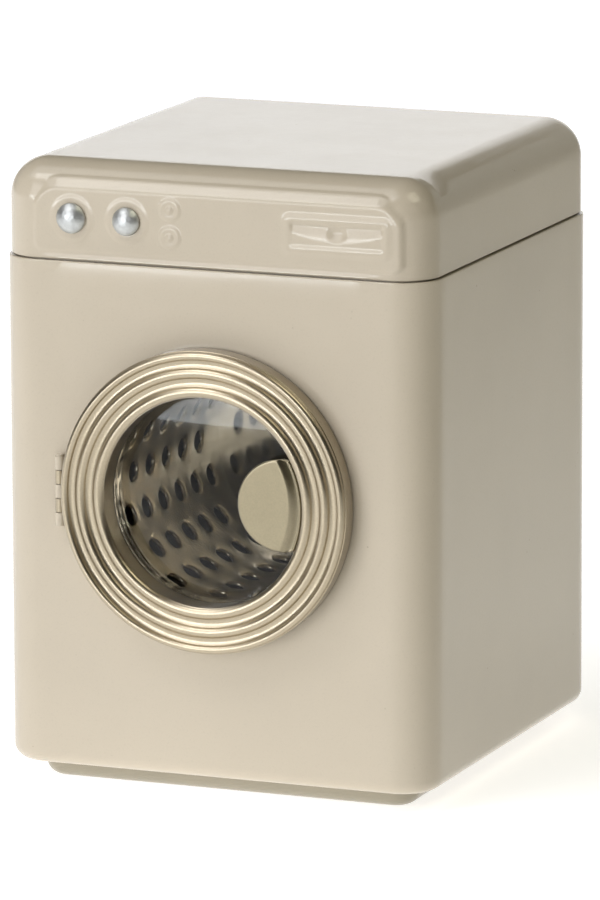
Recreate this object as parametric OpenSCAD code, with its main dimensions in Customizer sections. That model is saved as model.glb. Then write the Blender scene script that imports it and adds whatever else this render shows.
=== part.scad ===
// Toy washing machine in pressed tinplate. It has a cabinet with a round door,
// a perforated drum on a rear axle, and a lift-off lid with the control panel.
// The front faces -Y and the origin is the centre of the underside.

/* [Cabinet] */
// Width of the cabinet
cabinet_w = 87; // [82:0.5:105]
// Depth of the cabinet, front sheet to back sheet
cabinet_d = 91; // [86:0.5:110]
// Radius of the cabinet's upright corners
corner_r = 8; // [6:0.1:11]
// Thickness of the tinplate of the cabinet and the lid
sheet_t = 0.6; // [0.4:0.05:0.8]
// Radius of the turned-in bottom edge
hem_r = 2.85; // [2:0.05:4]
// Width of the lock seam down the back
seam_w = 8; // [5:0.5:14]
// Height that the lock seam stands out from the back
seam_t = 0.4; // [0.3:0.05:0.8]

/* [Base] */
// Height of the stepped plinth under the cabinet
plinth_h = 3.7; // [3.2:0.1:7]
// Setback of the plinth from the cabinet's sides
plinth_inset = 5.3; // [4.5:0.1:9]
// Radius of the plinth's upright corners
plinth_corner_r = 5; // [4:0.1:8]
// Radius of the plinth's bottom edge
plinth_edge_r = 3.2; // [1.5:0.1:3.5]
// Width of the base pan's flange inside the cabinet
pan_flange_w = 2; // [1:0.1:2.3]

/* [Lid] */
// Height of the whole object, floor to top
total_h = 120; // [110:0.5:150]
// Height of the lid
lid_h = 18.45; // [17:0.05:26]
// Setback of the lid's sides from the cabinet's sides
lid_inset = 0.46; // [0.2:0.02:0.8]
// Line left open between the lid and the cabinet
lid_line = 0.25; // [0.15:0.05:0.5]
// Gap all round between the lid and the neck it slides over
lid_fit = 0.3; // [0.3:0.05:0.5]
// Height that the neck stands above the cabinet's edge
neck_h = 3; // [2:0.1:3.2]
// Depth of the neck's joint inside the cabinet
neck_grip = 4; // [3:0.5:8]
// Thickness of the neck band
neck_t = 0.5; // [0.4:0.05:0.8]

/* [Control panel] */
// Height that the panel field is pressed out of the lid's front
panel_rise = 0.35; // [0.2:0.05:0.45]
// Height of the panel field's lower edge above the cabinet's edge
panel_low = 1.6; // [1.5:0.1:2]
// Distance of the panel field's top below the lid's top
panel_high = 2.9; // [2.6:0.1:3.2]
// Distance of the panel field's left end from the cabinet's side
panel_left_gap = 7.7; // [7.2:0.1:9]
// Distance of the panel field's right end from the cabinet's side
panel_right_gap = 5.3; // [5:0.1:8]
// Radius of the panel field's upper corners
panel_top_r = 5; // [3:0.1:6]
// Radius of the panel field's lower corners
panel_low_r = 2; // [1.5:0.1:4]
// Height of the slope along the panel field's top
panel_slope_h = 2.2; // [1.8:0.1:2.4]
// Depth that this slope falls back to meet the lid's rounded edge
panel_slope_d = 2; // [1.6:0.1:2.2]
// Width of the slope along the panel field's other edges
panel_edge_w = 0.8; // [0.4:0.1:1.2]
// Height of the two knobs above the cabinet's edge
knob_up = 8.3; // [8.3:0.1:9]
// Distance of the left knob from the panel field's left end
knob_in = 7.9; // [6.5:0.1:9]
// Distance between the two knobs
knob_pitch = 11.2; // [10:0.1:13]
// Diameter of the left knob
knob_left_d = 5.8; // [5:0.1:6.4]
// Diameter of the right knob
knob_right_d = 5.4; // [5:0.1:6.4]
// Height of a knob's dome over the panel
knob_h = 2; // [1.4:0.1:2.8]
// Radius of a knob's shank
shank_r = 1; // [0.8:0.05:1.4]
// Radius of the pressed ring round each knob
dish_r = 4; // [3.9:0.05:4.3]
// Distance of the two pressed marks from the right knob
mark_in = 8.7; // [7.5:0.1:11]
// Distance between the two pressed marks
mark_pitch = 5.2; // [4.6:0.1:5.6]
// Radius of a pressed mark's ring
mark_r = 1.6; // [1.2:0.05:1.8]
// Radius of the wire-like crest of the pressed rings
crest_r = 0.4; // [0.3:0.02:0.5]
// Distance of the drawer outline's middle from the panel field's right end
drawer_in = 12.7; // [12.2:0.1:14]
// Height of the drawer outline's middle above the cabinet's edge
drawer_up = 7.9; // [7.6:0.1:8.2]
// Width of the drawer outline
drawer_w = 21.4; // [18:0.1:22]
// Height of the drawer outline
drawer_h = 7.4; // [6.5:0.1:7.8]
// Width of the drawer outline's raised rim
drawer_rim = 1.5; // [1:0.1:2]
// Radius of the drawer's finger dimple
dimple_r = 2.6; // [1.5:0.1:3]

/* [Door] */
// Height of the door's centre above the floor
door_z = 57.9; // [54:0.1:62]
// Outer radius of the door ring
ring_r = 28.9; // [27.5:0.1:30]
// Radius of the ring's bore, which shows the window
bore_r = 20; // [18.5:0.1:20.5]
// Height of the ring's beads over the cabinet front
ring_h = 5; // [4.6:0.1:6]
// Gap between the shut door and the cabinet front
door_gap = 0.35; // [0.3:0.05:0.6]
// Wall thickness of the pressed ring
ring_wall = 0.9; // [0.7:0.05:1.1]
// Radius of the inner bead, beside the ring's bore
bead_in_r = 1.1; // [0.9:0.05:1.15]
// Radius of the middle bead
bead_mid_r = 1; // [0.8:0.05:1.1]
// Radius of the outer bead
bead_out_r = 0.75; // [0.6:0.05:0.85]
// Depth of the two hollows between the beads, under the ring's face
cove_deep = 0.3; // [0.15:0.05:0.35]
// Depth of the ring's bore wall behind the cabinet front
bore_depth = 0.9; // [0.5:0.05:1.5]
// Thickness of the liner plate that closes the ring's back
liner_t = 0.6; // [0.4:0.05:0.8]
// Length of the liner's sleeve behind the cabinet front
sleeve_depth = 2.5; // [2:0.1:3.5]
// Radial slack between the window and the liner's sleeve
window_fit = 0.05; // [0.02:0.01:0.1]
// Thickness of the clear window
window_t = 0.8; // [0.6:0.05:1.2]
// Rise of the window's dome
dome_rise = 1.2; // [0.6:0.1:1.8]
// Depth of the window's skirt behind the cabinet front
skirt_depth = 5.6; // [4:0.1:6]
// Radius of the porthole in the cabinet front
porthole_r = 22.7; // [22.6:0.1:23.5]
// Wall thickness of the porthole's collar
collar_t = 0.6; // [0.4:0.05:0.8]
// Width of the collar's flange behind the front sheet
collar_flange_w = 1.4; // [1:0.1:2]

/* [Handle] */
// Radius of the handle's round paddle
handle_r = 8.8; // [7:0.1:9.5]
// Distance of the paddle's centre from the door's centre
handle_off = 15.7; // [14:0.1:17]
// Angle of the handle above the door's level line
handle_turn = 2; // [0:0.5:10]
// Height of the paddle over the cabinet front
handle_h = 3.7; // [3.2:0.1:4.2]
// Thickness of the paddle
handle_t = 0.8; // [0.6:0.05:1]
// Width of the finger groove between the paddle and its lip
groove_w = 1.5; // [1:0.1:2]
// Width of the handle's lip along the bore
lip_w = 0.5; // [0.4:0.05:0.8]

/* [Hinge] */
// Distance of the hinge pin's axis from the door ring
hinge_off = 1.25; // [1.25:0.05:1.6]
// Height of the hinge pin's axis over the cabinet front
hinge_up = 1.3; // [1.3:0.05:1.6]
// Outer radius of the hinge knuckles
knuckle_r = 0.95; // [0.85:0.05:0.95]
// Length of one hinge knuckle
knuckle_len = 2.5; // [2:0.1:3.5]
// Gap between neighbouring knuckles
knuckle_gap = 0.2; // [0.15:0.05:0.4]
// Radius of the hinge pin
pin_r = 0.45; // [0.35:0.05:0.5]
// Radial running clearance of the hinge pin and the shafts
run_fit = 0.04; // [0.02:0.01:0.08]
// Thickness of the hinge leaves
leaf_t = 0.5; // [0.4:0.05:0.6]
// Width of the cabinet's hinge leaf
leaf_w = 6; // [4:0.5:6.5]

/* [Drum] */
// Inner radius of the drum
drum_r = 22; // [20.5:0.1:22.3]
// Thickness of the drum's sheet
drum_t = 0.5; // [0.4:0.05:0.7]
// Depth of the drum's mouth behind the cabinet front
drum_front = 8; // [7.5:0.1:12]
// Length of the drum inside, mouth to back plate
drum_len = 49; // [40:0.5:54]
// Gap between the collar and the drum's mouth
drum_gap = 0.6; // [0.4:0.05:1]
// Diameter of the drum's holes
hole_d = 3.8; // [2.5:0.1:4.5]
// Number of hole rows round the drum
hole_rows = 18; // [12:2:20]
// Distance between the holes of one row
hole_pitch = 8; // [7:0.1:12]
// Distance of the first holes from the drum's mouth
hole_first = 3; // [2.8:0.1:5]
// Turn of the hole rows from the level line
hole_turn = -2; // [-10:0.5:10]
// Radius of the rolled bead round the drum's mouth
roll_r = 0.6; // [0.4:0.05:0.9]
// Length of the back plate's turned flange
back_flange_len = 2.5; // [1.5:0.1:4]

/* [Drum bearing] */
// Radius of the drum's hub
hub_r = 6; // [5:0.1:9]
// Length of the drum's hub
hub_len = 4; // [3:0.1:6]
// Radius of the drum's axle
axle_r = 1.6; // [1.2:0.05:2.2]
// Thickness of the spacer washer
washer_t = 0.5; // [0.3:0.05:1]
// Radius of the spacer washer
washer_r = 3.6; // [3:0.1:4.5]
// End play of the axle at each side of the bush
end_play = 0.3; // [0.2:0.05:0.6]
// Outer radius of the bush's barrel
bush_r = 3; // [2.6:0.05:4]
// Length of the bush
bush_len = 5; // [3:0.1:8]
// Radius of the bush's flange
bush_flange_r = 4.6; // [4.2:0.1:6]
// Thickness of the bush's flange
bush_flange_t = 0.8; // [0.5:0.05:1.2]
// Thickness of the axle's clip
clip_t = 0.6; // [0.4:0.05:1]
// Radius of the axle's clip
clip_r = 3.2; // [2.8:0.1:4]
// Length of the axle beyond its clip
axle_tail = 1; // [0.5:0.1:3]

/* [Drum bracket] */
// Width of the bracket across its legs
bracket_w = 46; // [34:0.5:52]
// Height of the bracket's strap
bracket_h = 14; // [11:0.5:20]
// Thickness of the bracket's strap
bracket_t = 0.8; // [0.6:0.05:1.2]
// Length of each bracket foot on the back sheet
foot_len = 8; // [6:0.1:11]
// Distance between the two rivets of a foot
rivet_pitch = 7; // [6:0.1:8]
// Radius of a rivet's shank
rivet_r = 0.8; // [0.6:0.05:1]
// Radius of a rivet's head
rivet_head_r = 1.5; // [1.3:0.05:2]
// Height of a rivet's head
rivet_head_h = 0.6; // [0.4:0.05:0.9]

/* [Catch] */
// Radius of the magnet behind the cabinet front
magnet_r = 3; // [2:0.1:4]
// Thickness of the magnet
magnet_t = 1.5; // [1:0.1:3]
// Gap between the magnet and the collar's flange
magnet_gap = 0.2; // [0.1:0.1:1]

/* [Hidden] */
$fn = 96;
eps = 0.01;
over = 5;

cream = [0.83, 0.79, 0.71];
champagne = [0.75, 0.69, 0.55];
steel = [0.55, 0.53, 0.5];
bright = [0.8, 0.81, 0.83];
clear = [0.75, 0.82, 0.88, 0.4];
nylon = [0.9, 0.9, 0.87];
dark = [0.2, 0.2, 0.22];

// Height of the cabinet's top edge
cabinet_h = total_h - lid_h - lid_line;

// Planes of the front and back sheets
front_y = -cabinet_d / 2;
back_y = cabinet_d / 2;

// Plinth and base pan
plinth_w = cabinet_w - 2 * plinth_inset;
plinth_d = cabinet_d - 2 * plinth_inset;
pan_seat = 0.05;
pan_top = plinth_h + 2 * sheet_t;

// Lid shell
lid_w = cabinet_w - 2 * lid_inset;
lid_d = cabinet_d - 2 * lid_inset;
lid_r = corner_r - lid_inset;
lid_low = cabinet_h + lid_line;
lid_front = -lid_d / 2;

// Neck band: its upper part fits in the lid, its lower part in the cabinet
neck_w = lid_w - 2 * sheet_t - 2 * lid_fit;
neck_d = lid_d - 2 * sheet_t - 2 * lid_fit;
neck_r = lid_r - sheet_t - lid_fit;
neck_edge = 0.05;
shoulder_z = cabinet_h - neck_edge;

// Panel face, and the places of its details
panel_left = cabinet_w / 2 - panel_left_gap;
panel_right = cabinet_w / 2 - panel_right_gap;
panel_field_h = total_h - panel_high - cabinet_h - panel_low;
knob_left_x = panel_left - knob_in;
knob_right_x = knob_left_x - knob_pitch;
mark_x = knob_right_x - mark_in;
drawer_x = panel_right - drawer_in;
panel_y = lid_front - panel_rise;
panel_cx = (panel_right - panel_left) / 2;
panel_w = panel_right + panel_left;
panel_cz = cabinet_h + panel_low + panel_field_h / 2;
panel_deep = panel_slope_d + 1;
knob_z = cabinet_h + knob_up;
drawer_z = cabinet_h + drawer_up;
drawer_r = 1;
drawer_rise = 0.3;
dimple_cut = 0.3;
shank_hole_r = shank_r + run_fit;
knob_gap = 0.15;
knob_edge_h = 0.5;
nut_r = 2;
nut_t = 0.4;
shank_tail = 0.5;

// Door ring profile, as heights over the cabinet front
face_drop = 0.65;
ring_base = ring_h - face_drop;
ring_step = 0.45;
ring_edge = 0.2;
bead_in_x = bore_r + bead_in_r;
bead_out_x = ring_r - ring_edge - bead_out_r;
bead_mid_x = (bead_in_x + bead_in_r + bead_out_x - bead_out_r) / 2;
cove_edge = 0.06;
liner_fit = 0.05;
hollow_top = ring_base - ring_wall;

// Window: a domed disc with a skirt that tapers to the back
window_r = bore_r + ring_wall + 0.5;
sleeve_r = window_r + window_fit;
skirt_draft = 0.25;
dome_r = bore_r - 0.5;
dome_sphere = (pow(dome_r, 2) + pow(dome_rise, 2)) / (2 * dome_rise);

// Handle
groove_out = bore_r - lip_w;
groove_deep = 0.9;
lip_top = ring_base + 0.1;
paddle_in = handle_off - handle_r - 1;

// Hinge pin axis and the knuckle stack, which starts at the bottom
hinge_x = -(ring_r + hinge_off);
knuckle_count = 5;
knuckle_step = knuckle_len + knuckle_gap;
hinge_h = knuckle_count * knuckle_step - knuckle_gap;
hinge_drop = 0.35;
hinge_low = -hinge_h / 2 - hinge_drop;
knuckle_bore_r = pin_r + run_fit;
pin_head = 0.4;
web_t = 0.8;
web_gap = 0.1;
tongue_gap = 0.15;
leaf_side = 2.5;
door_leaf_w = 3.2;

// Drum depths behind the cabinet front
collar_end = drum_front - drum_gap;
collar_edge_r = porthole_r + collar_t + collar_flange_w;
back_plate = drum_front + drum_len;
hub_start = back_plate + drum_t;
hub_end = hub_start + hub_len;
bush_start = hub_end + washer_t + end_play;
bush_end = bush_start + bush_len;
clip_start = bush_end + end_play;
axle_end = clip_start + clip_t + axle_tail;
strap_front = bush_start + bush_flange_t;
hole_margin = 3;
hole_reach = 1;

// Bracket rivets
foot_x = bracket_w / 2 + foot_len / 2;
wall_in = cabinet_d - sheet_t;

// Outline of a rounded rectangle
module rounded(w, d, r) {
    square([w - 2 * r, d], center = true);
    square([w, d - 2 * r], center = true);
    for (x = [-1, 1], y = [-1, 1])
        translate([x * (w / 2 - r), y * (d / 2 - r)])
            circle(r);
}

// Outline of a block's side view, with its lower edges rounded by e
module hem_profile(w, h, e) {
    translate([-w / 2, e])
        square([w, h - e]);
    translate([-w / 2 + e, 0])
        square([w - 2 * e, h]);
    intersection() {
        for (x = [-1, 1])
            translate([x * (w / 2 - e), e])
                circle(e);
        translate([-w / 2, 0])
            square([w, e]);
    }
}

// Block with upright corners of radius r and a bottom edge of radius e
module tub(w, d, h, r, e) {
    rotate([90, 0, 0])
        linear_extrude(d - 2 * r, center = true)
            hem_profile(w, h, e);
    rotate([90, 0, 90])
        linear_extrude(w - 2 * r, center = true)
            hem_profile(d, h, e);
    for (x = [-1, 1], y = [-1, 1])
        translate([x * (w / 2 - r), y * (d / 2 - r), 0])
            rotate_extrude()
                tub_corner(h, r, e);
}

// Half section of the tub's round corner
module tub_corner(h, r, e) {
    translate([0, e])
        square([r, h - e]);
    if (r > e)
        square([r - e, h]);
    intersection() {
        translate([r - e, e])
            circle(e);
        square([r, e]);
    }
}

// Frame on the front sheet, at the door's centre: x to the right, y up, z out
module at_door() {
    translate([0, front_y, door_z])
        rotate([90, 0, 0])
            children();
}

// The same frame on the lid's panel face, at x and z
module at_panel(x, z) {
    translate([x, panel_y, z])
        rotate([90, 0, 0])
            children();
}

// Tube along z from z0 to z1
module tube(r_out, r_in, z0, z1) {
    translate([0, 0, z0])
        difference() {
            cylinder(r = r_out, h = z1 - z0);
            translate([0, 0, -over])
                cylinder(r = r_in, h = z1 - z0 + 2 * over);
        }
}

// Height of the bottom of hinge knuckle i, from the door's centre
function knuckle_low(i) = hinge_low + i * knuckle_step;

// Hinge knuckle i, in the door's frame
module knuckle(i) {
    translate([hinge_x, knuckle_low(i), hinge_up])
        rotate([-90, 0, 0])
            cylinder(r = knuckle_r, h = knuckle_len, $fn = 48);
}

module pin_bore() {
    translate([hinge_x, hinge_low - over, hinge_up])
        rotate([-90, 0, 0])
            cylinder(r = knuckle_bore_r, h = hinge_h + 2 * over, $fn = 48);
}

// Places of the four bracket rivets
module at_rivets() {
    for (x = [-1, 1], z = [-1, 1])
        translate([x * foot_x, 0, door_z + z * rivet_pitch / 2])
            rotate([-90, 0, 0])
                children();
}

// Cabinet shell: four sides and a turned-in bottom, with the porthole
module cabinet_wrap() {
    color(cream)
    difference() {
        union() {
            translate([0, 0, plinth_h])
                tub(cabinet_w, cabinet_d, cabinet_h - plinth_h, corner_r, hem_r);
            translate([-seam_w / 2, back_y - sheet_t, plinth_h + hem_r])
                cube([seam_w, sheet_t + seam_t, cabinet_h - plinth_h - hem_r]);
        }
        translate([0, 0, plinth_h + sheet_t])
            tub(cabinet_w - 2 * sheet_t, cabinet_d - 2 * sheet_t, cabinet_h,
                corner_r - sheet_t, hem_r - sheet_t);
        translate([0, 0, plinth_h - over])
            linear_extrude(2 * over)
                rounded(plinth_w + 2 * pan_seat, plinth_d + 2 * pan_seat,
                        plinth_corner_r + pan_seat);
        at_door()
            translate([0, 0, -over])
                cylinder(r = porthole_r, h = 2 * over);
        at_door()
            for (i = [0, 2, 4])
                translate([hinge_x - web_t / 2 - web_gap, knuckle_low(i) - web_gap, -over])
                    cube([web_t + 2 * web_gap, knuckle_len + 2 * web_gap, 2 * over]);
        translate([0, back_y - over, 0])
            at_rivets()
                cylinder(r = rivet_r, h = 2 * over, $fn = 48);
    }
}

// Joggled band inside the cabinet's rim, which the lid slides over
module neck_band() {
    color(cream) {
        translate([0, 0, cabinet_h - neck_grip])
            band(cabinet_w - 2 * sheet_t, cabinet_d - 2 * sheet_t,
                 corner_r - sheet_t, neck_grip - neck_edge, neck_t);
        translate([0, 0, shoulder_z - neck_t])
            linear_extrude(neck_t)
                difference() {
                    rounded(cabinet_w - 2 * sheet_t, cabinet_d - 2 * sheet_t,
                            corner_r - sheet_t);
                    rounded(neck_w - 2 * neck_t, neck_d - 2 * neck_t, neck_r - neck_t);
                }
        translate([0, 0, shoulder_z - neck_t])
            band(neck_w, neck_d, neck_r, neck_h + neck_edge + neck_t, neck_t);
    }
}

module band(w, d, r, h, t) {
    linear_extrude(h)
        difference() {
            rounded(w, d, r);
            rounded(w - 2 * t, d - 2 * t, r - t);
        }
}

// Stepped base: a shallow pan whose flange lies on the cabinet's turned-in bottom
module base_pan() {
    color(cream)
    difference() {
        union() {
            tub(plinth_w, plinth_d, pan_top, plinth_corner_r, plinth_edge_r);
            translate([0, 0, plinth_h + sheet_t])
                linear_extrude(sheet_t)
                    rounded(plinth_w + 2 * pan_flange_w, plinth_d + 2 * pan_flange_w,
                            plinth_corner_r + pan_flange_w);
        }
        translate([0, 0, sheet_t])
            tub(plinth_w - 2 * sheet_t, plinth_d - 2 * sheet_t, pan_top,
                plinth_corner_r - sheet_t, plinth_edge_r - sheet_t);
    }
}

// Collar that leads from the porthole to the drum's mouth
module porthole_collar() {
    color(cream)
    at_door()
        mirror([0, 0, 1]) {
            tube(porthole_r + collar_t, porthole_r, sheet_t, collar_end);
            tube(collar_edge_r, porthole_r, sheet_t, sheet_t + collar_t);
        }
}

// Hat-shaped bracket from the back sheet, which carries the drum's bearing
module drum_bracket() {
    color(bright)
    at_door()
        mirror([0, 0, 1])
            difference() {
                union() {
                    translate([-bracket_w / 2, -bracket_h / 2, strap_front])
                        cube([bracket_w, bracket_h, bracket_t]);
                    for (x = [-1, 1])
                        translate([x * (bracket_w - bracket_t) / 2 - bracket_t / 2,
                                   -bracket_h / 2, strap_front])
                            cube([bracket_t, bracket_h, wall_in - strap_front]);
                    for (x = [-1, 1])
                        translate([x * foot_x - foot_len / 2, -bracket_h / 2,
                                   wall_in - bracket_t])
                            cube([foot_len, bracket_h, bracket_t]);
                }
                translate([0, 0, strap_front - over])
                    cylinder(r = bush_r, h = 2 * over);
                for (x = [-1, 1], y = [-1, 1])
                    translate([x * foot_x, y * rivet_pitch / 2, wall_in - over])
                        cylinder(r = rivet_r, h = 2 * over, $fn = 48);
            }
}

// Four rivets through the bracket's feet and the back sheet
module bracket_rivets() {
    color(bright)
    translate([0, back_y - sheet_t - bracket_t, 0])
        at_rivets() {
            cylinder(r = rivet_r, h = sheet_t + bracket_t, $fn = 48);
            translate([0, 0, sheet_t + bracket_t])
                rivet_head();
            mirror([0, 0, 1])
                rivet_head();
        }
}

// Round head: a cap of a sphere on its flat
module rivet_head() {
    ball = (pow(rivet_head_r, 2) + pow(rivet_head_h, 2)) / (2 * rivet_head_h);
    intersection() {
        translate([0, 0, rivet_head_h - ball])
            sphere(r = ball, $fn = 48);
        cylinder(r = rivet_head_r, h = rivet_head_h, $fn = 48);
    }
}

// Flanged bush in the bracket
module bearing_bush() {
    color(nylon)
    at_door()
        mirror([0, 0, 1]) {
            tube(bush_r, axle_r + run_fit, bush_start, bush_end);
            tube(bush_flange_r, axle_r + run_fit, bush_start, bush_start + bush_flange_t);
        }
}

// Leaf behind the front sheet, with three knuckles that stand out through slots
module hinge_leaf_cabinet() {
    color(cream)
    at_door()
        difference() {
            union() {
                translate([hinge_x - leaf_side, hinge_low - leaf_side, -sheet_t - leaf_t])
                    cube([leaf_w, hinge_h + 2 * leaf_side, leaf_t]);
                for (i = [0, 2, 4]) {
                    translate([hinge_x - web_t / 2, knuckle_low(i), -sheet_t - leaf_t])
                        cube([web_t, knuckle_len, hinge_up + sheet_t + leaf_t]);
                    knuckle(i);
                }
            }
            pin_bore();
        }
}

// Pin with a small head on top
module hinge_pin() {
    color(bright)
    at_door()
        translate([hinge_x, hinge_low, hinge_up])
            rotate([-90, 0, 0]) {
                cylinder(r = pin_r, h = hinge_h + pin_head, $fn = 48);
                translate([0, 0, hinge_h])
                    cylinder(r = pin_r + 0.3, h = pin_head, $fn = 48);
            }
}

// Disc magnet on the inside of the front sheet, which holds the door shut
module door_magnet() {
    color(dark)
    at_door()
        mirror([0, 0, 1])
            translate([collar_edge_r + magnet_gap + magnet_r, 0, sheet_t])
                cylinder(r = magnet_r, h = magnet_t);
}

// Lid shell with the pressed control panel
module top_lid() {
    color(cream)
    difference() {
        union() {
            translate([0, 0, total_h])
                mirror([0, 0, 1])
                    tub(lid_w, lid_d, total_h - lid_low, lid_r, lid_r);
            at_panel(panel_cx, panel_cz)
                panel_block(0);
            for (x = [knob_left_x, knob_right_x])
                at_panel(-x, knob_z)
                    pressed_ring(dish_r);
            for (z = [-1, 1])
                at_panel(-mark_x, knob_z + z * mark_pitch / 2)
                    pressed_mark();
            at_panel(drawer_x, drawer_z)
                drawer_outline();
        }
        translate([0, 0, total_h - sheet_t])
            mirror([0, 0, 1])
                tub(lid_w - 2 * sheet_t, lid_d - 2 * sheet_t, total_h, lid_r - sheet_t,
                    lid_r - sheet_t);
        at_panel(panel_cx, panel_cz)
            translate([0, 0, -sheet_t])
                panel_block(sheet_t);
        for (x = [knob_left_x, knob_right_x])
            at_panel(-x, knob_z)
                translate([0, 0, -over])
                    cylinder(r = shank_hole_r, h = 2 * over, $fn = 48);
        at_panel(drawer_x, drawer_z)
            dimple();
    }
}

// Pressed field with sloped edges, in the panel's frame, drawn in by t
module panel_block(t) {
    w = panel_w - 2 * t;
    h = panel_field_h - 2 * t;
    intersection() {
        translate([0, 0, -panel_deep])
            linear_extrude(panel_deep)
                panel_outline(w, h, panel_top_r - t, panel_low_r - t);
        rotate([90, 0, 90])
            linear_extrude(w, center = true)
                polygon([
                    [-h / 2, -panel_deep], [h / 2, -panel_deep],
                    [h / 2, -panel_slope_d], [h / 2 - panel_slope_h, 0],
                    [-h / 2 + panel_edge_w, 0], [-h / 2, -panel_rise]
                ]);
        rotate([90, 0, 0])
            linear_extrude(h, center = true)
                polygon([
                    [-w / 2, -panel_deep], [w / 2, -panel_deep],
                    [w / 2, -panel_rise], [w / 2 - panel_edge_w, 0],
                    [-w / 2 + panel_edge_w, 0], [-w / 2, -panel_rise]
                ]);
    }
}

// Outline with its own radii for the upper and lower corners
module panel_outline(w, h, r_top, r_low) {
    translate([-w / 2, -h / 2 + r_low])
        square([w, h - r_top - r_low]);
    translate([-w / 2 + r_low, -h / 2])
        square([w - 2 * r_low, h / 2]);
    translate([-w / 2 + r_top, 0])
        square([w - 2 * r_top, h / 2]);
    for (x = [-1, 1]) {
        translate([x * (w / 2 - r_top), h / 2 - r_top])
            circle(r_top);
        translate([x * (w / 2 - r_low), -h / 2 + r_low])
            circle(r_low);
    }
}

// Ring with a round crest, half sunk in the panel
module pressed_ring(r) {
    rotate_extrude()
        translate([r, 0])
            circle(crest_r, $fn = 48);
}

// Small ring round a raised dot
module pressed_mark() {
    pressed_ring(mark_r);
    sphere(r = crest_r * 1.5, $fn = 48);
}

// Raised rim of the drawer's outline
module drawer_outline() {
    linear_extrude(drawer_rise)
        difference() {
            rounded(drawer_w, drawer_h, drawer_r);
            rounded(drawer_w - 2 * drawer_rim, drawer_h - 2 * drawer_rim, drawer_r / 2);
        }
}

// Shallow round dimple in the drawer's face
module dimple() {
    ball = (pow(dimple_r, 2) + pow(dimple_cut, 2)) / (2 * dimple_cut);
    translate([0, 0, ball - dimple_cut])
        sphere(r = ball);
}

// Domed knob with its shank, in the panel's frame
module knob(d) {
    r = d / 2;
    cap = knob_h - knob_edge_h;
    ball = (pow(r, 2) + pow(cap, 2)) / (2 * cap);
    translate([0, 0, knob_gap])
        cylinder(r = r, h = knob_edge_h);
    intersection() {
        translate([0, 0, knob_gap + knob_edge_h + cap - ball])
            sphere(r = ball);
        translate([0, 0, knob_gap + knob_edge_h])
            cylinder(r = r, h = cap);
    }
    translate([0, 0, -sheet_t - knob_gap - nut_t - shank_tail])
        cylinder(r = shank_r, h = sheet_t + 2 * knob_gap + nut_t + shank_tail, $fn = 48);
}

// Push-on nut that keeps a knob's shank in the panel
module knob_nut() {
    tube(nut_r, shank_r, -sheet_t - knob_gap - nut_t, -sheet_t - knob_gap);
}

module knob_left() {
    color(bright)
    at_panel(-knob_left_x, knob_z)
        knob(knob_left_d);
}

module knob_left_nut() {
    color(steel)
    at_panel(-knob_left_x, knob_z)
        knob_nut();
}

module knob_right() {
    color(bright)
    at_panel(-knob_right_x, knob_z)
        knob(knob_right_d);
}

module knob_right_nut() {
    color(steel)
    at_panel(-knob_right_x, knob_z)
        knob_nut();
}

// Pressed ring with three round beads and two hollows on its face, open at the back
module door_ring() {
    color(champagne)
    at_door()
        difference() {
            rotate_extrude()
                ring_profile();
            for (i = [1, 3])
                translate([hinge_x, knuckle_low(i) - tongue_gap, 0])
                    cube([hinge_off + 2 * ring_wall + tongue_gap,
                          knuckle_len + 2 * tongue_gap,
                          door_gap + liner_t + leaf_t + tongue_gap]);
        }
}

// Half the width of a bead of radius r, where it leaves the ring's face
function bead_half(r) = sqrt(pow(r, 2) - pow(r - face_drop, 2));

module ring_profile() {
    difference() {
        union() {
            translate([bore_r, door_gap])
                square([ring_r - bore_r, ring_base - ring_step - door_gap]);
            ring_slab();
            translate([bead_out_x, door_gap])
                square([bead_out_r, ring_h - bead_out_r - door_gap]);
            translate([bore_r, -bore_depth])
                square([ring_wall, bore_depth + ring_h - bead_in_r]);
            bead(bead_in_x, bead_in_r);
            bead(bead_mid_x, bead_mid_r);
            bead(bead_out_x, bead_out_r);
        }
        translate([bore_r + ring_wall, -bore_depth - over])
            square([ring_r - bore_r - 2 * ring_wall, hollow_top + bore_depth + over]);
    }
}

// Ring's face between the outer two beads, with its two hollows
module ring_slab() {
    difference() {
        translate([bead_in_x, door_gap])
            square([bead_out_x - bead_in_x, ring_base - door_gap]);
        cove(bead_in_x + bead_half(bead_in_r), bead_mid_x - bead_half(bead_mid_r));
        cove(bead_mid_x + bead_half(bead_mid_r), bead_out_x - bead_half(bead_out_r));
    }
}

// Bead of the ring's profile
module bead(x, r) {
    translate([x, ring_h - r])
        circle(r, $fn = 48);
}

// Round hollow between two beads, from x0 to x1 under the ring's face
module cove(x0, x1) {
    half = (x1 - x0) / 2 + cove_edge;
    arc_r = (pow(half, 2) + pow(cove_deep, 2)) / (2 * cove_deep);
    translate([(x0 + x1) / 2, ring_base + arc_r - cove_deep])
        circle(arc_r, $fn = 48);
}

// Plate that closes the ring's back, with a sleeve that holds the window
module door_liner() {
    color(champagne)
    at_door() {
        tube(ring_r - ring_wall - liner_fit, sleeve_r, door_gap, door_gap + liner_t);
        tube(sleeve_r + liner_t, sleeve_r, -sleeve_depth, door_gap + liner_t);
    }
}

// Clear cup: a domed face and a skirt that reaches back through the porthole
module door_window() {
    color(clear)
    at_door()
        rotate_extrude()
            difference() {
                cup_profile(0);
                cup_profile(window_t);
            }
}

// Outline of the cup, moved in by t
module cup_profile(t) {
    low = -skirt_depth - (t > 0 ? over : 0);
    high = -bore_depth - t;
    polygon([
        [0, low],
        [window_r - skirt_draft - t, low],
        [window_r - t, high],
        [0, high]
    ]);
    intersection() {
        translate([0, high + dome_rise - dome_sphere])
            circle(dome_sphere, $fn = 720);
        translate([0, high - eps])
            square([dome_r, dome_rise + 2 * eps]);
    }
}

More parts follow.
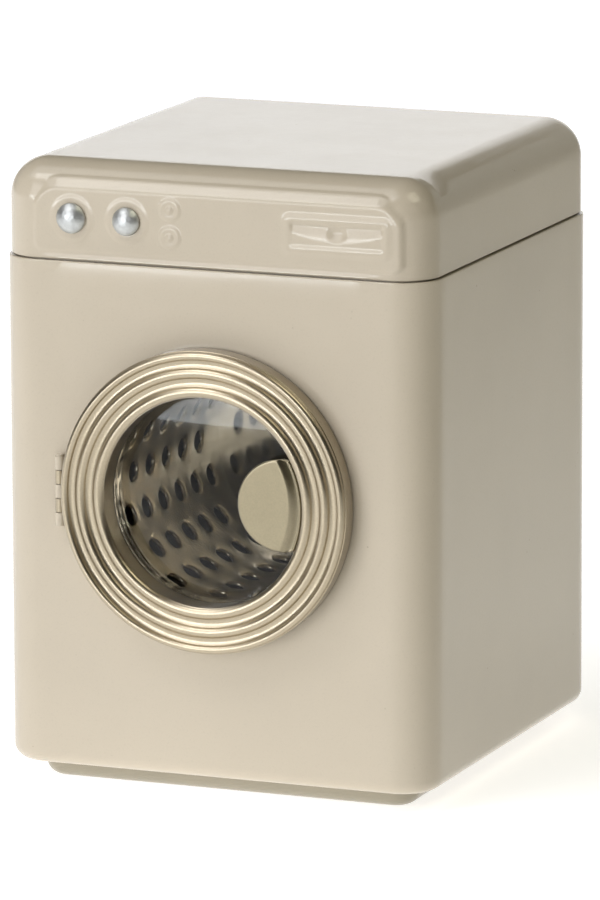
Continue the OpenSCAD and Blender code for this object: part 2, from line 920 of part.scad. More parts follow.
// Round paddle in the ring's bore, with a finger groove and a lip at its right
module door_handle() {
    color(champagne)
    at_door()
        rotate([0, 0, handle_turn])
            intersection() {
                translate([handle_off, 0, 0])
                    cylinder(r = handle_r, h = ring_h);
                rotate_extrude()
                    handle_profile();
            }
}

module handle_profile() {
    difference() {
        translate([paddle_in, handle_h - handle_t - groove_deep])
            square([bore_r - paddle_in, lip_top - handle_h + handle_t + groove_deep]);
        translate([paddle_in - over, handle_h])
            square([groove_out - paddle_in + over, over]);
        translate([paddle_in - over, handle_h - handle_t - over])
            square([groove_out - groove_w - paddle_in + over, over]);
        translate([groove_out - groove_w / 2, handle_h])
            circle(groove_w / 2, $fn = 48);
    }
}

// Leaf inside the ring's back, with two knuckles outside the ring
module hinge_leaf_door() {
    low = door_gap + liner_t;
    color(champagne)
    at_door()
        difference() {
            union() {
                translate([-(ring_r - 2 * ring_wall - 0.2), knuckle_low(1), low])
                    cube([door_leaf_w, 3 * knuckle_step - knuckle_gap, leaf_t]);
                for (i = [1, 3]) {
                    translate([hinge_x, knuckle_low(i), low])
                        cube([hinge_off + 2 * ring_wall + 0.5, knuckle_len, leaf_t]);
                    knuckle(i);
                }
            }
            pin_bore();
        }
}

// Perforated drum sheet, with alternate hole rows staggered by half a pitch
module drum_shell() {
    color(steel)
    at_door()
        mirror([0, 0, 1])
            difference() {
                tube(drum_r + drum_t, drum_r, drum_front, back_plate + back_flange_len);
                for (row = [0 : hole_rows - 1])
                    hole_row(row);
            }
}

module hole_row(row) {
    start = drum_front + hole_first + (row % 2) * hole_pitch / 2;
    last = back_plate - hole_margin;
    rotate([0, 0, hole_turn + row * 360 / hole_rows])
        for (depth = [start : hole_pitch : last])
            translate([0, 0, depth])
                rotate([0, 90, 0])
                    translate([0, 0, drum_r - hole_reach])
                        cylinder(d = hole_d, h = drum_t + 2 * hole_reach, $fn = 32);
}

// Rolled bead round the drum's mouth
module drum_mouth_roll() {
    color(steel)
    at_door()
        mirror([0, 0, 1])
            rotate_extrude()
                translate([drum_r + drum_t + roll_r, drum_front + roll_r])
                    circle(roll_r, $fn = 48);
}

// Polished back plate with a turned flange
module drum_back() {
    color(bright)
    at_door()
        mirror([0, 0, 1]) {
            translate([0, 0, back_plate])
                cylinder(r = drum_r, h = drum_t);
            tube(drum_r, drum_r - drum_t, back_plate, back_plate + back_flange_len);
        }
}

// Hub pressed on the axle, behind the back plate
module drum_hub() {
    color(nylon)
    at_door()
        mirror([0, 0, 1])
            tube(hub_r, axle_r, hub_start, hub_end);
}

module drum_axle() {
    color(bright)
    at_door()
        mirror([0, 0, 1])
            translate([0, 0, hub_start])
                cylinder(r = axle_r, h = axle_end - hub_start);
}

module axle_washer() {
    color(bright)
    at_door()
        mirror([0, 0, 1])
            tube(washer_r, axle_r, hub_end, hub_end + washer_t);
}

module axle_clip() {
    color(steel)
    at_door()
        mirror([0, 0, 1])
            tube(clip_r, axle_r, clip_start, clip_start + clip_t);
}

cabinet_wrap();
neck_band();
base_pan();
porthole_collar();
drum_bracket();
bracket_rivets();
bearing_bush();
hinge_leaf_cabinet();
hinge_pin();
door_magnet();
top_lid();
knob_left();
knob_left_nut();
knob_right();
knob_right_nut();
door_ring();
door_liner();
door_window();
door_handle();
hinge_leaf_door();
drum_shell();
drum_mouth_roll();
drum_back();
drum_hub();
drum_axle();
axle_washer();
axle_clip();
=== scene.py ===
"""Looks of the toy washing machine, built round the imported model.

Lengths in this script are millimetres, and make_piece turns them into Blender's metres.
The door's frame has its origin on the cabinet front at the door's centre: x to the right,
y up and z out of the front.
"""
import math

import bpy
import numpy as np
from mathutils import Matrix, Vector, noise


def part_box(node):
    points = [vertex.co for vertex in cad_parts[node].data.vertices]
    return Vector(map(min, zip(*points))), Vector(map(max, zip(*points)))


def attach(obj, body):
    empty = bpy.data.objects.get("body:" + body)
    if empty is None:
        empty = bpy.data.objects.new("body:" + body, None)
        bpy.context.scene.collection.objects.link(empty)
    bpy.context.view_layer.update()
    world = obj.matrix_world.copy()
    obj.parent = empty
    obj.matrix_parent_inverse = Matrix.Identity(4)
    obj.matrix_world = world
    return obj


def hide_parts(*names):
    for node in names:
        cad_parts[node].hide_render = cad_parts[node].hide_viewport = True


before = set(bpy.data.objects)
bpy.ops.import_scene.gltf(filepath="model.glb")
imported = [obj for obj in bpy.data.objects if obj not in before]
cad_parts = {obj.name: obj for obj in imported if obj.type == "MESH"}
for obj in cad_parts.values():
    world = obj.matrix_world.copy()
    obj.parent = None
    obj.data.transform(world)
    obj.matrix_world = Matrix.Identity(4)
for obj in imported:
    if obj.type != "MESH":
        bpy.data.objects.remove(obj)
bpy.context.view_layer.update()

MM = 0.001


def box_mm(node):
    """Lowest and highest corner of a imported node, in millimetres."""
    low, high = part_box(node)
    return np.array(low) / MM, np.array(high) / MM


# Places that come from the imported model
CABINET_LOW, CABINET_HIGH = box_mm("cabinet_wrap")
LID_LOW, LID_HIGH = box_mm("top_lid")
RING_LOW, RING_HIGH = box_mm("door_ring")
TONGUE_LOW, TONGUE_HIGH = box_mm("hinge_leaf_door")
DRUM_LOW, DRUM_HIGH = box_mm("drum_shell")
DRUM_BACK_LOW, _ = box_mm("drum_back")
KNOB_BOXES = [box_mm(node) for node in ("knob_left", "knob_right")]
FRONT = CABINET_LOW[1]
DOOR_Z = (RING_LOW[2] + RING_HIGH[2]) / 2

# Cabinet sheet: width, depth and corner radius, then the hem, seam and top rim
SHEET = 0.6
WIDTH = CABINET_HIGH[0] - CABINET_LOW[0]
DEPTH = -2 * FRONT
CORNER_R = 8.0
CABINET = (WIDTH, DEPTH, CORNER_R)
CABINET_FLAT = WIDTH / 2 - CORNER_R
CABINET_DENT, CABINET_DENT_SIZE = 0.07, 26
HEM_R = 2.85
SEAM_FOOT = 4.9
SEAM_RAMP = 1.2
SEAM_RISE = 0.4
RIM_LEAN = 0.2
RIM_LEAN_HEIGHT = 2.6

# Porthole, and the square patch of rings round it
PORTHOLE_R = 22.7
PORTHOLE_EDGE = 0.25
PATCH_HALF = 26.0
PATCH_OUTSIDE = (25.4, 24.6, 23.8)
PATCH_INSIDE = (24.6, 25.4)
DENT_FREE_R = 24

# Base pan
PLINTH_INSET = 5.25
PLINTH_R = 5.05
PLINTH = (WIDTH - 2 * PLINTH_INSET, DEPTH - 2 * PLINTH_INSET, PLINTH_R)
PAN_GAP = 0.05
PAN = tuple(size - gap for size, gap in zip(PLINTH, (2 * PAN_GAP, 2 * PAN_GAP, PAN_GAP)))
PAN_BEND = 3.2
PAN_FLANGE = 2.0

# Lid
LID_R = 7.54
LID = (LID_HIGH[0] - LID_LOW[0], 2 * LID_HIGH[1], LID_R)
LID_FLAT = LID[0] / 2 - LID_R
LID_FRONT = -LID_HIGH[1]
LID_DENT, LID_DENT_SIZE = 0.05, 24
LID_FLARE = 0.22
TOP_ROWS = (0.03, 0.09, 0.2, 0.36, 0.55, 0.75, 0.93)

# Pressed panel, as places on the lid's front
PANEL_RISE = 0.35
PANEL_X0, PANEL_X1 = -35.8, 38.2
PANEL_Z0, PANEL_Z1 = 102.9, 117.1
PANEL_STEP = 0.26
PANEL_SLOPE = 2.2
PANEL_SLOPE_RATE = 0.8
PANEL_SLOPE_START = 3.5
PANEL_SKIRT_RATE = 1.3
PANEL_EDGE = 0.8
PANEL_EDGE_RATE = 0.44
PANEL_SOFT = 0.5
PANEL_BLEND = 0.12
PANEL_TOP_R, PANEL_LOW_R = 5.0, 2.0

# Rings round the knobs and the two small marks: radius, half width and rise of each crest
KNOB_Z = (KNOB_BOXES[0][0][2] + KNOB_BOXES[0][1][2]) / 2
KNOB_XS = [(low[0] + high[0]) / 2 for low, high in KNOB_BOXES]
KNOB_CREST = (3.4, 1.2, 0.12)
MARK_X = -8.0
MARK_PITCH = 5.2
MARK_CRESTS = ((1.5, 0.85, 0.2), (0, 1.0, 0.42))

# Pressed drawer: frame, scooped face and the dimple in its middle
DRAWER_X, DRAWER_Z = 25.5, 109.2
DRAWER_W, DRAWER_H = 21.4, 7.4
DRAWER_RIM = 1.5
DRAWER_R, DRAWER_FACE_R = 1.4, 0.5
DRAWER_RISE = 0.24
DRAWER_STEP = 0.12
BOWL_LOW, BOWL_RISE = 0.5, 1.9
SCOOP_DEEP = 0.75
SCOOP_BEND, SCOOP_START = 0.12, 0.346
DIMPLE_R, DIMPLE_DEEP = 1.7, 0.4
DIMPLE_UP, DIMPLE_WIDER = 0.5, 1.3

# Door ring: middle radius and size of each bead, and how softly it leaves the face
RING_R = (RING_HIGH[0] - RING_LOW[0]) / 2
BEADS = ((21.1, 1.1, 0.06), (24.7, 1.0, 0.16), (27.95, 0.75, 0.06))
BEAD_TOP = 4.999
FACE_Z = 4.35
INNER_BEAD_TURN, OUTER_BEAD_TURN = 66, 60
# Hollows in the face: middle radius, half width and depth
HOLLOWS = ((22.93, 0.89, 0.3), (26.43, 0.86, 0.3))
BORE_R = 20.0
BORE_DEPTH = 0.9
RING_GAP = 0.35
RING_WALL = 0.9
RING_STEPS = 288
TONGUE_H = 2.5
TONGUE_GAP = 0.15

# Window
WINDOW_R = 21.4
WINDOW_T = 0.8
SKIRT_DEPTH = 5.6
SKIRT_DRAFT = 0.25
DOME_R = 19.5
DOME_RISE = 1.2

# Handle
HANDLE_R = 8.8
HANDLE_OFF = 15.7
HANDLE_TURN = math.radians(2)
HANDLE_TOP = 3.7
HANDLE_T = 0.8
GROOVE_W = 1.5
GROOVE_DEEP = 0.8
GROOVE_UNDER = 0.9
LIP_W = 0.5
LIP_TOP = 4.45
LIP_ROUND = 0.3

# Knobs: dome on a shank, and the hammer marks on the dome
KNOB_DOME = 1.5
KNOB_GAP = 0.15
SHANK_R = 1.0
SHANK_END = -1.65
HAMMER_DEEP = 0.10
HAMMER_CELLS = 1.5
HAMMER_REACH = 0.7

# A turned skin ends this far from its axis, where a small face closes it
AXIS_R = 0.01

# Drum: depths behind the cabinet's front, and the rows of holes round it
DRUM_R = (DRUM_HIGH[0] - DRUM_LOW[0]) / 2
DRUM_T = 0.5
DRUM_FRONT, DRUM_PLATE, DRUM_END = (
    round(y - FRONT, 3) for y in (DRUM_LOW[1], DRUM_BACK_LOW[1], DRUM_HIGH[1]))
HOLE_R = 1.9
HOLE_ROWS = 18
HOLE_PITCH = 8
HOLE_FIRST = 3
HOLE_MARGIN = 3
HOLE_TURN = math.radians(-2)
HOLE_COLUMNS = 8
ROW_TURN = 2 * math.pi / HOLE_ROWS
# Rings from a cell's edge to its hole: radius, and how far each is pushed outwards
HOLE_RINGS = ((2.75, 0.0), (2.4, 0.04), (2.15, 0.12), (1.98, 0.22), (HOLE_R, 0.36))
OUTER_PUSH = 0.6

# Colours, linear
CREAM = (0.55, 0.486, 0.388)
# Darker copy of the cream: painted shade on the recessed plinth and the porthole collar
CREAM_SHADED = (0.35, 0.315, 0.24)
SPECK = (0.20, 0.16, 0.11)
CHAMPAGNE = (0.42, 0.357, 0.255)
# Darker copy of the champagne: painted shade on the door's handle
CHAMPAGNE_IN_SHADE = (0.27, 0.231, 0.148)
STEEL = (0.80, 0.72, 0.58)
MIRROR = (0.60, 0.57, 0.52)
SILVER = (0.62, 0.64, 0.645)
ZINC = (0.58, 0.59, 0.60)
# Bare tin of the cabinet's inside, made this dark as painted shade
TIN_IN_SHADE = (0.12, 0.115, 0.11)
BUSH_WHITE = (0.72, 0.70, 0.64)
MAGNET_BLACK = (0.045, 0.045, 0.05)


def in_door_frame(points):
    """Points of the door's frame as points of the object's frame."""
    p = np.asarray(points, float)
    return np.stack([p[:, 0], FRONT - p[:, 2], DOOR_Z + p[:, 1]], 1)


def used_only(verts, faces):
    """The vertices that the faces use, and the faces with their new numbers."""
    used = sorted({v for face in faces for v in face})
    number = {old: new for new, old in enumerate(used)}
    return np.asarray(verts, float)[used], [tuple(number[v] for v in face) for face in faces]


def make_piece(name, verts, faces, body, material, replaces=(), sharp=40):
    """A mesh object from millimetres, riding on its body."""
    verts, faces = used_only(verts, faces)
    mesh = bpy.data.meshes.new(name)
    mesh.from_pydata((verts * MM).tolist(), [], faces)
    mesh.update()
    mesh.shade_smooth()
    mesh.set_sharp_from_angle(angle=math.radians(sharp))
    mesh.materials.append(material)
    piece = bpy.data.objects.new(name, mesh)
    bpy.context.scene.collection.objects.link(piece)
    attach(piece, body)
    if replaces:
        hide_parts(*replaces)
    return piece


def paint(piece, material, numbers):
    """Gives the numbered faces of a piece a second material."""
    piece.data.materials.append(material)
    for number in numbers:
        piece.data.polygons[number].material_index = 1


def arc(cx, cy, r, start, end, steps):
    """Points on an arc, from start to end in degrees, both included."""
    turns = np.radians(np.linspace(start, end, steps + 1))
    return [(cx + r * math.cos(t), cy + r * math.sin(t)) for t in turns]


def join_rows(faces, low, high, skip=()):
    """Quads between two closed rows of vertex numbers, but for the columns to skip."""
    n = len(low)
    for i in range(n):
        if i not in skip:
            k = (i + 1) % n
            faces.append((low[i], low[k], high[k], high[i]))


def lathe(profile, steps, closed=True):
    """Vertices in the door's frame and faces of a profile (r, z), turned about z.

    A profile that isn't closed starts and ends close to the axis, and gets a face at each end.
    """
    n = len(profile)
    verts, faces = [], []
    for i in range(steps):
        turn = 2 * math.pi * i / steps
        verts += [(r * math.cos(turn), r * math.sin(turn), z) for r, z in profile]
    last = n if closed else n - 1
    for i in range(steps):
        a, b = i * n, (i + 1) % steps * n
        faces += [(a + j, b + j, b + (j + 1) % n, a + (j + 1) % n) for j in range(last)]
    if not closed:
        faces.append(tuple(i * n for i in range(steps))[::-1])
        faces.append(tuple(i * n + n - 1 for i in range(steps)))
    return np.array(verts), faces


def loop(w, d, r, z, parts):
    """One closed row round a rounded rectangle, starting at the front's left end.

    parts gives the places along the front, and how many steps the corners and sides have.
    """
    front, corner, side, back = parts
    r = max(r, 0.02)
    hw, hd = w / 2, d / 2
    xs = np.array(front) * (hw - r)
    pts = [(x, -hd) for x in xs]
    pts += arc(hw - r, -hd + r, r, -90, 0, corner)[1:]
    pts += [(hw, y) for y in np.linspace(-hd + r, hd - r, side + 1)[1:]]
    pts += arc(hw - r, hd - r, r, 0, 90, corner)[1:]
    pts += [(x, hd) for x in np.linspace(hw - r, -hw + r, back + 1)[1:]]
    pts += arc(-hw + r, hd - r, r, 90, 180, corner)[1:]
    pts += [(-hw, y) for y in np.linspace(hd - r, -hd + r, side + 1)[1:]]
    pts += arc(-hw + r, -hd + r, r, 180, 270, corner)[1:-1]
    return np.array([(x, y, z) for x, y in pts])


def inset_loop(size, inset, z, parts):
    """A row round a rounded rectangle (width, depth, radius) that is drawn in by an inset."""
    w, d, r = size
    return loop(w - 2 * inset, d - 2 * inset, r - inset, z, parts)


def stack(rows, cap_low=False, cap_high=False, skip=None):
    """Vertices and faces of rows laid on each other; skip(k) gives a row's open columns."""
    n = len(rows[0])
    verts = np.concatenate(rows)
    faces = []
    for k in range(len(rows) - 1):
        low = list(range(k * n, k * n + n))
        high = list(range(k * n + n, k * n + 2 * n))
        join_rows(faces, low, high, skip(k) if skip else ())
    if cap_low:
        faces.append(tuple(range(n - 1, -1, -1)))
    if cap_high:
        faces.append(tuple(range(len(verts) - n, len(verts))))
    return verts, faces


def inward(row, middle, part):
    """A row drawn towards a middle point by a part of the way."""
    return row + (np.array(middle) - row) * part


def sag(points, deep, size, seed):
    """Slow unevenness of pressed sheet, as depths from 0 to deep at the points."""
    found = []
    for p in points:
        n = noise.noise(Vector((p[0] / size + seed, p[1] / size, p[2] / size)))
        found.append(deep * (0.5 + 0.5 * n))
    return np.array(found)


def rim_curve():
    """Points over a sheet's cut edge: a half circle drawn out towards a square."""
    points = []
    for turn in np.radians(np.linspace(0, 180, 11)[1:-1]):
        c = math.cos(turn)
        points.append((-math.copysign(abs(c) ** 0.6, c), math.sin(turn) ** 0.6))
    return points


def soft_step(x, low, high):
    """Smooth rise from 0 at low to 1 at high."""
    t = np.clip((x - low) / (high - low), 0, 1)
    return t * t * (3 - 2 * t)


def smooth_max(a, b, k):
    """The larger of two values, with a soft change of width k."""
    h = np.clip(0.5 + 0.5 * (a - b) / k, 0, 1)
    return b + (a - b) * h + k * h * (1 - h)


def bump_of(distance, width, high):
    """Round crest of a pressed line, at distances from its middle."""
    part = np.clip(1 - (distance / width) ** 2, 0, 1)
    return high * part * part * (3 - 2 * part)


def cabinet_skin(inset, zs, parts):
    """Rows of one skin from the hem's inner edge to the rim, and the first row of its wall."""
    z0 = CABINET_LOW[2]
    bend = HEM_R - inset
    rows = [inset_loop(PLINTH, 0, z0 + inset, parts)]
    for turn in np.radians(np.linspace(-90, 0, 9)[:-1]):
        z = z0 + HEM_R + bend * math.sin(turn)
        rows.append(inset_loop(CABINET, HEM_R - bend * math.cos(turn), z, parts))
    wall = len(rows)
    rows += [inset_loop(CABINET, inset, z, parts) for z in zs]
    return rows, wall


def press_wall(row, top):
    """Gives a row of the outer skin the back's lock seam, slow dents and the front's lean."""
    across = np.abs(row[:, 0])
    on_front, z = row[:, 1] < 0, row[0, 2]
    seam = SEAM_RISE * soft_step(-across, -SEAM_FOOT, -SEAM_FOOT + SEAM_RAMP)
    row[:, 1] += np.where(on_front, 0, seam)
    depth = sag(row, CABINET_DENT, CABINET_DENT_SIZE, 3.0) * np.clip((top - 1 - z) / 4, 0, 1)
    from_door = np.hypot(row[:, 0], z - DOOR_Z)
    front = np.clip((CABINET_FLAT - across) / 6, 0, 1) * on_front
    front = front * np.clip((from_door - DENT_FREE_R) / 8, 0, 1)
    side = np.clip((DEPTH / 2 - CORNER_R - np.abs(row[:, 1])) / 6, 0, 1)
    lean = RIM_LEAN * soft_step(z, top - RIM_LEAN_HEIGHT, top) * on_front
    row[:, 1] += depth * front + lean * soft_step(-across, -CABINET_FLAT, -CABINET_FLAT + 6)
    row[:, 0] -= np.sign(row[:, 0]) * depth * side


def porthole_patch(verts, outside, inside):
    """Rings from the square opening's edge in the outer skin to its edge in the inner one."""
    turns = [math.atan2(verts[i][2] - DOOR_Z, verts[i][0]) for i in outside]
    reaches = [math.hypot(verts[i][2] - DOOR_Z, verts[i][0]) for i in outside]
    e, third = PORTHOLE_EDGE, PORTHOLE_EDGE * 0.3
    path = [(r, 0) for r in (*PATCH_OUTSIDE, PORTHOLE_R + e)]
    path += [(PORTHOLE_R + third, third), (PORTHOLE_R, e)]
    path += [(PORTHOLE_R, SHEET - e), (PORTHOLE_R + third, SHEET - third)]
    path += [(r, SHEET) for r in (PORTHOLE_R + e, *PATCH_INSIDE)]
    rows, added = [outside], []
    for r, deep in path:
        start = len(verts) + len(added)
        for turn, reach in zip(turns, reaches):
            near = min(r, reach)
            added.append((near * math.cos(turn), FRONT + deep, DOOR_Z + near * math.sin(turn)))
        rows.append(list(range(start, start + len(turns))))
    rows.append(inside)
    faces = []
    for a, b in zip(rows, rows[1:]):
        join_rows(faces, a, b)
    return np.concatenate([verts, np.array(added)]), faces


def cabinet_shell():
    """Cabinet's two skins with the porthole, hem and top rim, and its unpainted faces, which later
    get a dark tin that is painted shade.
    """
    patch = np.linspace(-PATCH_HALF, PATCH_HALF, 27)
    beside = np.linspace(PATCH_HALF, CABINET_FLAT, 6)[1:]
    xs = np.concatenate([-beside[::-1], patch, beside])
    parts = (xs / CABINET_FLAT, 10, 36, 36)
    rim, top = SHEET / 2, CABINET_HIGH[2]
    below = np.linspace(CABINET_LOW[2] + HEM_R, DOOR_Z - PATCH_HALF, 12)
    above = np.linspace(DOOR_Z + PATCH_HALF, top - rim, 9)
    zs = np.concatenate([below[:-1], DOOR_Z + patch, above[1:]])

    outer, wall = cabinet_skin(0, zs, parts)
    inner, _ = cabinet_skin(SHEET, zs, parts)
    for row in outer[wall:]:
        press_wall(row, top)
    over = [inset_loop(CABINET, rim * (1 + aside), top - rim + rim * up, parts)
            for aside, up in rim_curve()]
    rows = outer + over + inner[::-1]
    total, n = len(rows), len(rows[0])

    # The square opening: its first row and column in the outer skin, and its width in columns
    r0, c0, m = wall + len(below) - 1, len(beside), len(patch) - 1
    open_rows = set(range(r0, r0 + m))
    open_rows |= {total - 2 - k for k in open_rows}
    open_columns = set(range(c0, c0 + m))
    verts, faces = stack(rows, skip=lambda k: open_columns if k in open_rows else ())
    join_rows(faces, list(range((total - 1) * n, total * n)), list(range(n)))
    edge = [(r0, c0 + i) for i in range(m)] + [(r0 + i, c0 + m) for i in range(m)]
    edge += [(r0 + m, c0 + m - i) for i in range(m)] + [(r0 + m - i, c0) for i in range(m)]
    inner_from, patch_from = len(outer + over) * n, len(verts)
    verts, patch_faces = porthole_patch(verts, [k * n + c for k, c in edge],
                                        [(total - 1 - k) * n + c for k, c in edge])
    faces += patch_faces

    def is_bare_shaded(face):
        if min(face) < inner_from:
            return False
        return min(face) < patch_from or verts[list(face), 1].mean() > FRONT + SHEET * 0.75

    return verts, faces, [k for k, face in enumerate(faces) if is_bare_shaded(face)]


def outline_distance(dx, dz, w, h, r):
    """Distance outside a rounded rectangle, negative inside."""
    qx = np.abs(dx) - (w / 2 - r)
    qz = np.abs(dz) - (h / 2 - r)
    out = np.hypot(np.maximum(qx, 0), np.maximum(qz, 0))
    return out + np.minimum(np.maximum(qx, qz), 0) - r


def panel_face(x, z):
    """Where the pressed panel's face lies, as a distance in front of the cabinet's middle."""
    x0, x1 = PANEL_X0 + PANEL_EDGE, PANEL_X1 - PANEL_EDGE
    z0, z1 = PANEL_Z0 + PANEL_EDGE, PANEL_Z1 - PANEL_SLOPE
    r = np.where(z > (z0 + z1) / 2, PANEL_TOP_R, PANEL_LOW_R)
    over = outline_distance(x - (x0 + x1) / 2, z - (z0 + z1) / 2, x1 - x0, z1 - z0, r - PANEL_EDGE)
    over = np.maximum(over, 0)
    soft = PANEL_SOFT
    slope = np.where(over < soft, over * over / (2 * soft), over - soft / 2)
    steeper = (PANEL_SLOPE_RATE - PANEL_EDGE_RATE) * soft_step(z, z1 - PANEL_SLOPE_START, z1)
    cx, cz = (PANEL_X0 + PANEL_X1) / 2, (PANEL_Z0 + PANEL_Z1) / 2
    out = outline_distance(x - cx, z - cz, PANEL_X1 - PANEL_X0, PANEL_Z1 - PANEL_Z0, r)
    face = PANEL_RISE - LID_FRONT - slope * (PANEL_EDGE_RATE + steeper)
    return face - np.maximum(out, 0) * PANEL_SKIRT_RATE


def drawer_height(dx, dz):
    """Height of the pressed drawer over the panel, at distances from its middle."""
    w, h = DRAWER_W - 2 * DRAWER_RIM, DRAWER_H - 2 * DRAWER_RIM
    frame_edge = outline_distance(dx, dz, DRAWER_W, DRAWER_H, DRAWER_R)
    face_edge = outline_distance(dx, dz, w, h, DRAWER_FACE_R)
    bowl = -h / 2 + BOWL_LOW + BOWL_RISE * (dx / (w / 2)) ** 2
    rise = np.clip((dz - bowl) / (h / 2 - bowl + 0.6), 0, 1)
    scoop = SCOOP_DEEP * (np.sqrt(rise * rise + SCOOP_BEND) - SCOOP_START)
    from_dimple = np.hypot(dx / DIMPLE_WIDER, dz - DIMPLE_UP) / DIMPLE_R
    high = DRAWER_RISE * soft_step(-frame_edge, -0.7, 0.8)
    high -= soft_step(-face_edge, -0.5, 0.5) * (DRAWER_STEP + scoop)
    return high - DIMPLE_DEEP * np.clip(1 - from_dimple ** 2, 0, 1) ** 1.3


def panel_details(x, z):
    """Height of the rings, marks and drawer over the panel's face."""
    high = drawer_height(x - DRAWER_X, z - DRAWER_Z)
    crests = [(kx, KNOB_Z, KNOB_CREST) for kx in KNOB_XS]
    for way in (-1, 1):
        crests += [(MARK_X, KNOB_Z + way * MARK_PITCH / 2, crest) for crest in MARK_CRESTS]
    for cx, cz, (r, half, rise) in crests:
        high += bump_of(np.hypot(x - cx, z - cz) - r, half, rise)
    return high


def press_panel(row, under, low):
    """Pushes a row of the lid's outside out to the panel, and the row under it along."""
    front = row[:, 1] < -30
    plain = -row[:, 1]
    face = panel_face(row[:, 0], row[:, 2])
    joined = smooth_max(plain, face, PANEL_BLEND)
    lift = np.where(front & (face > plain - 1), joined - plain, 0)
    on_face = soft_step(lift, 0.15, 0.3) * (row[:, 2] < PANEL_Z1 - PANEL_SLOPE)
    details = panel_details(row[:, 0], row[:, 2]) * on_face
    under[:, 1] -= np.where(lift > 0.02, lift + np.minimum(details, 0), 0)
    foot = soft_step(-row[:, 2], -PANEL_Z0 - 0.3, -low)
    flare = LID_FLARE * foot * soft_step(-np.abs(row[:, 0]), -LID_FLAT, -LID_FLAT + 5)
    row[:, 1] -= np.where(front, lift + details + flare, 0)


def dent_top(row):
    """Slow dents in the lid's flat top, fading out towards its round edges."""
    level = np.clip((row[:, 2] - LID_HIGH[2] + 0.3) / 0.3, 0, 1)
    inside = np.minimum(LID_FLAT - np.abs(row[:, 0]), LID[1] / 2 - LID_R - np.abs(row[:, 1]))
    depth = sag(row, LID_DENT, LID_DENT_SIZE, 9.0)
    row[:, 2] -= depth * level * np.clip(inside / 8, 0, 1)


def lid_shell():
    """Lid with round edges, a round lower rim and the pressed panel in its front."""
    xs = np.linspace(-LID_FLAT, LID_FLAT, int(2 * LID_FLAT / PANEL_STEP) + 1)
    parts = (xs / LID_FLAT, 28, 40, 40)
    rim = SHEET / 2
    low, shoulder = LID_LOW[2] + rim, LID_HIGH[2] - LID_R
    outer, inner = [], []
    for z in np.linspace(low, shoulder, 40):
        outer.append(inset_loop(LID, 0, z, parts))
        inner.append(inset_loop(LID, SHEET, z, parts))
    for turn in np.radians(np.linspace(0, 90, 41)[1:]):
        for rows, inset in ((outer, 0), (inner, SHEET)):
            r = LID_R - inset
            drawn_in = inset + r * (1 - math.cos(turn))
            rows.append(inset_loop(LID, drawn_in, shoulder + r * math.sin(turn), parts))
    wall = len(outer)
    outer += [inward(outer[-1], (0, 0, LID_HIGH[2]), part) for part in TOP_ROWS]
    inner += [row - (0, 0, SHEET) for row in outer[wall:]]
    for row, under in zip(outer[:wall], inner):
        press_panel(row, under, low)
    for row in outer:
        dent_top(row)
    below = [inset_loop(LID, rim * (1 + aside), low - rim * up, parts)
             for aside, up in rim_curve()[::-1]]
    return stack(inner[::-1] + below + outer, cap_low=True, cap_high=True)


def pan_shell():
    """Base pan: plinth wall, rounded lower edge and the flange that lies in the cabinet."""
    parts = (np.linspace(-1, 1, 25), 8, 24, 24)
    centre = (0.1, 0.3, 0.6, 0.9)
    top = CABINET_LOW[2] + 2 * SHEET
    rows = [inward(inset_loop(PAN, PAN_BEND, 0, parts), (0, 0, 0), part) for part in centre[::-1]]
    for turn in np.radians(np.linspace(-90, 0, 11)):
        z = PAN_BEND + PAN_BEND * math.sin(turn)
        rows.append(inset_loop(PAN, PAN_BEND * (1 - math.cos(turn)), z, parts))
    flange_edge = ((0.2, top - SHEET), (0.05, top - SHEET + 0.08), (0, top - SHEET / 2),
                   (0.05, top - 0.08), (0.2, top))
    rows.append(inset_loop(PAN, 0, top - SHEET, parts))
    rows += [inset_loop(PAN, inset - PAN_FLANGE, z, parts) for inset, z in flange_edge]
    rows.append(inset_loop(PAN, SHEET - 0.2, top, parts))
    rows.append(inset_loop(PAN, SHEET, top - 0.2, parts))
    inner_bend = PAN_BEND - SHEET
    for turn in np.radians(np.linspace(0, -90, 9)):
        z = PAN_BEND + inner_bend * math.sin(turn)
        rows.append(inset_loop(PAN, SHEET + inner_bend * (1 - math.cos(turn)), z, parts))
    last = inset_loop(PAN, PAN_BEND, SHEET, parts)
    rows += [inward(last, (0, 0, SHEET), part) for part in centre]
    return stack(rows, cap_low=True, cap_high=True)


def ring_face(r):
    """Height of the ring's face at a radius: three beads and two hollows."""
    high = FACE_Z
    for middle, half, deep in HOLLOWS:
        if abs(r - middle) < half:
            ball = (half ** 2 + deep ** 2) / (2 * deep)
            high = FACE_Z + ball - deep - math.sqrt(ball ** 2 - (r - middle) ** 2)
    for middle, size, soft in BEADS:
        off = abs(r - middle)
        if off < size + soft:
            bead = BEAD_TOP - size + math.sqrt(max(0.0, size ** 2 - off ** 2))
            high = float(smooth_max(bead - 6 * max(0, off - size), high, soft))
    return high


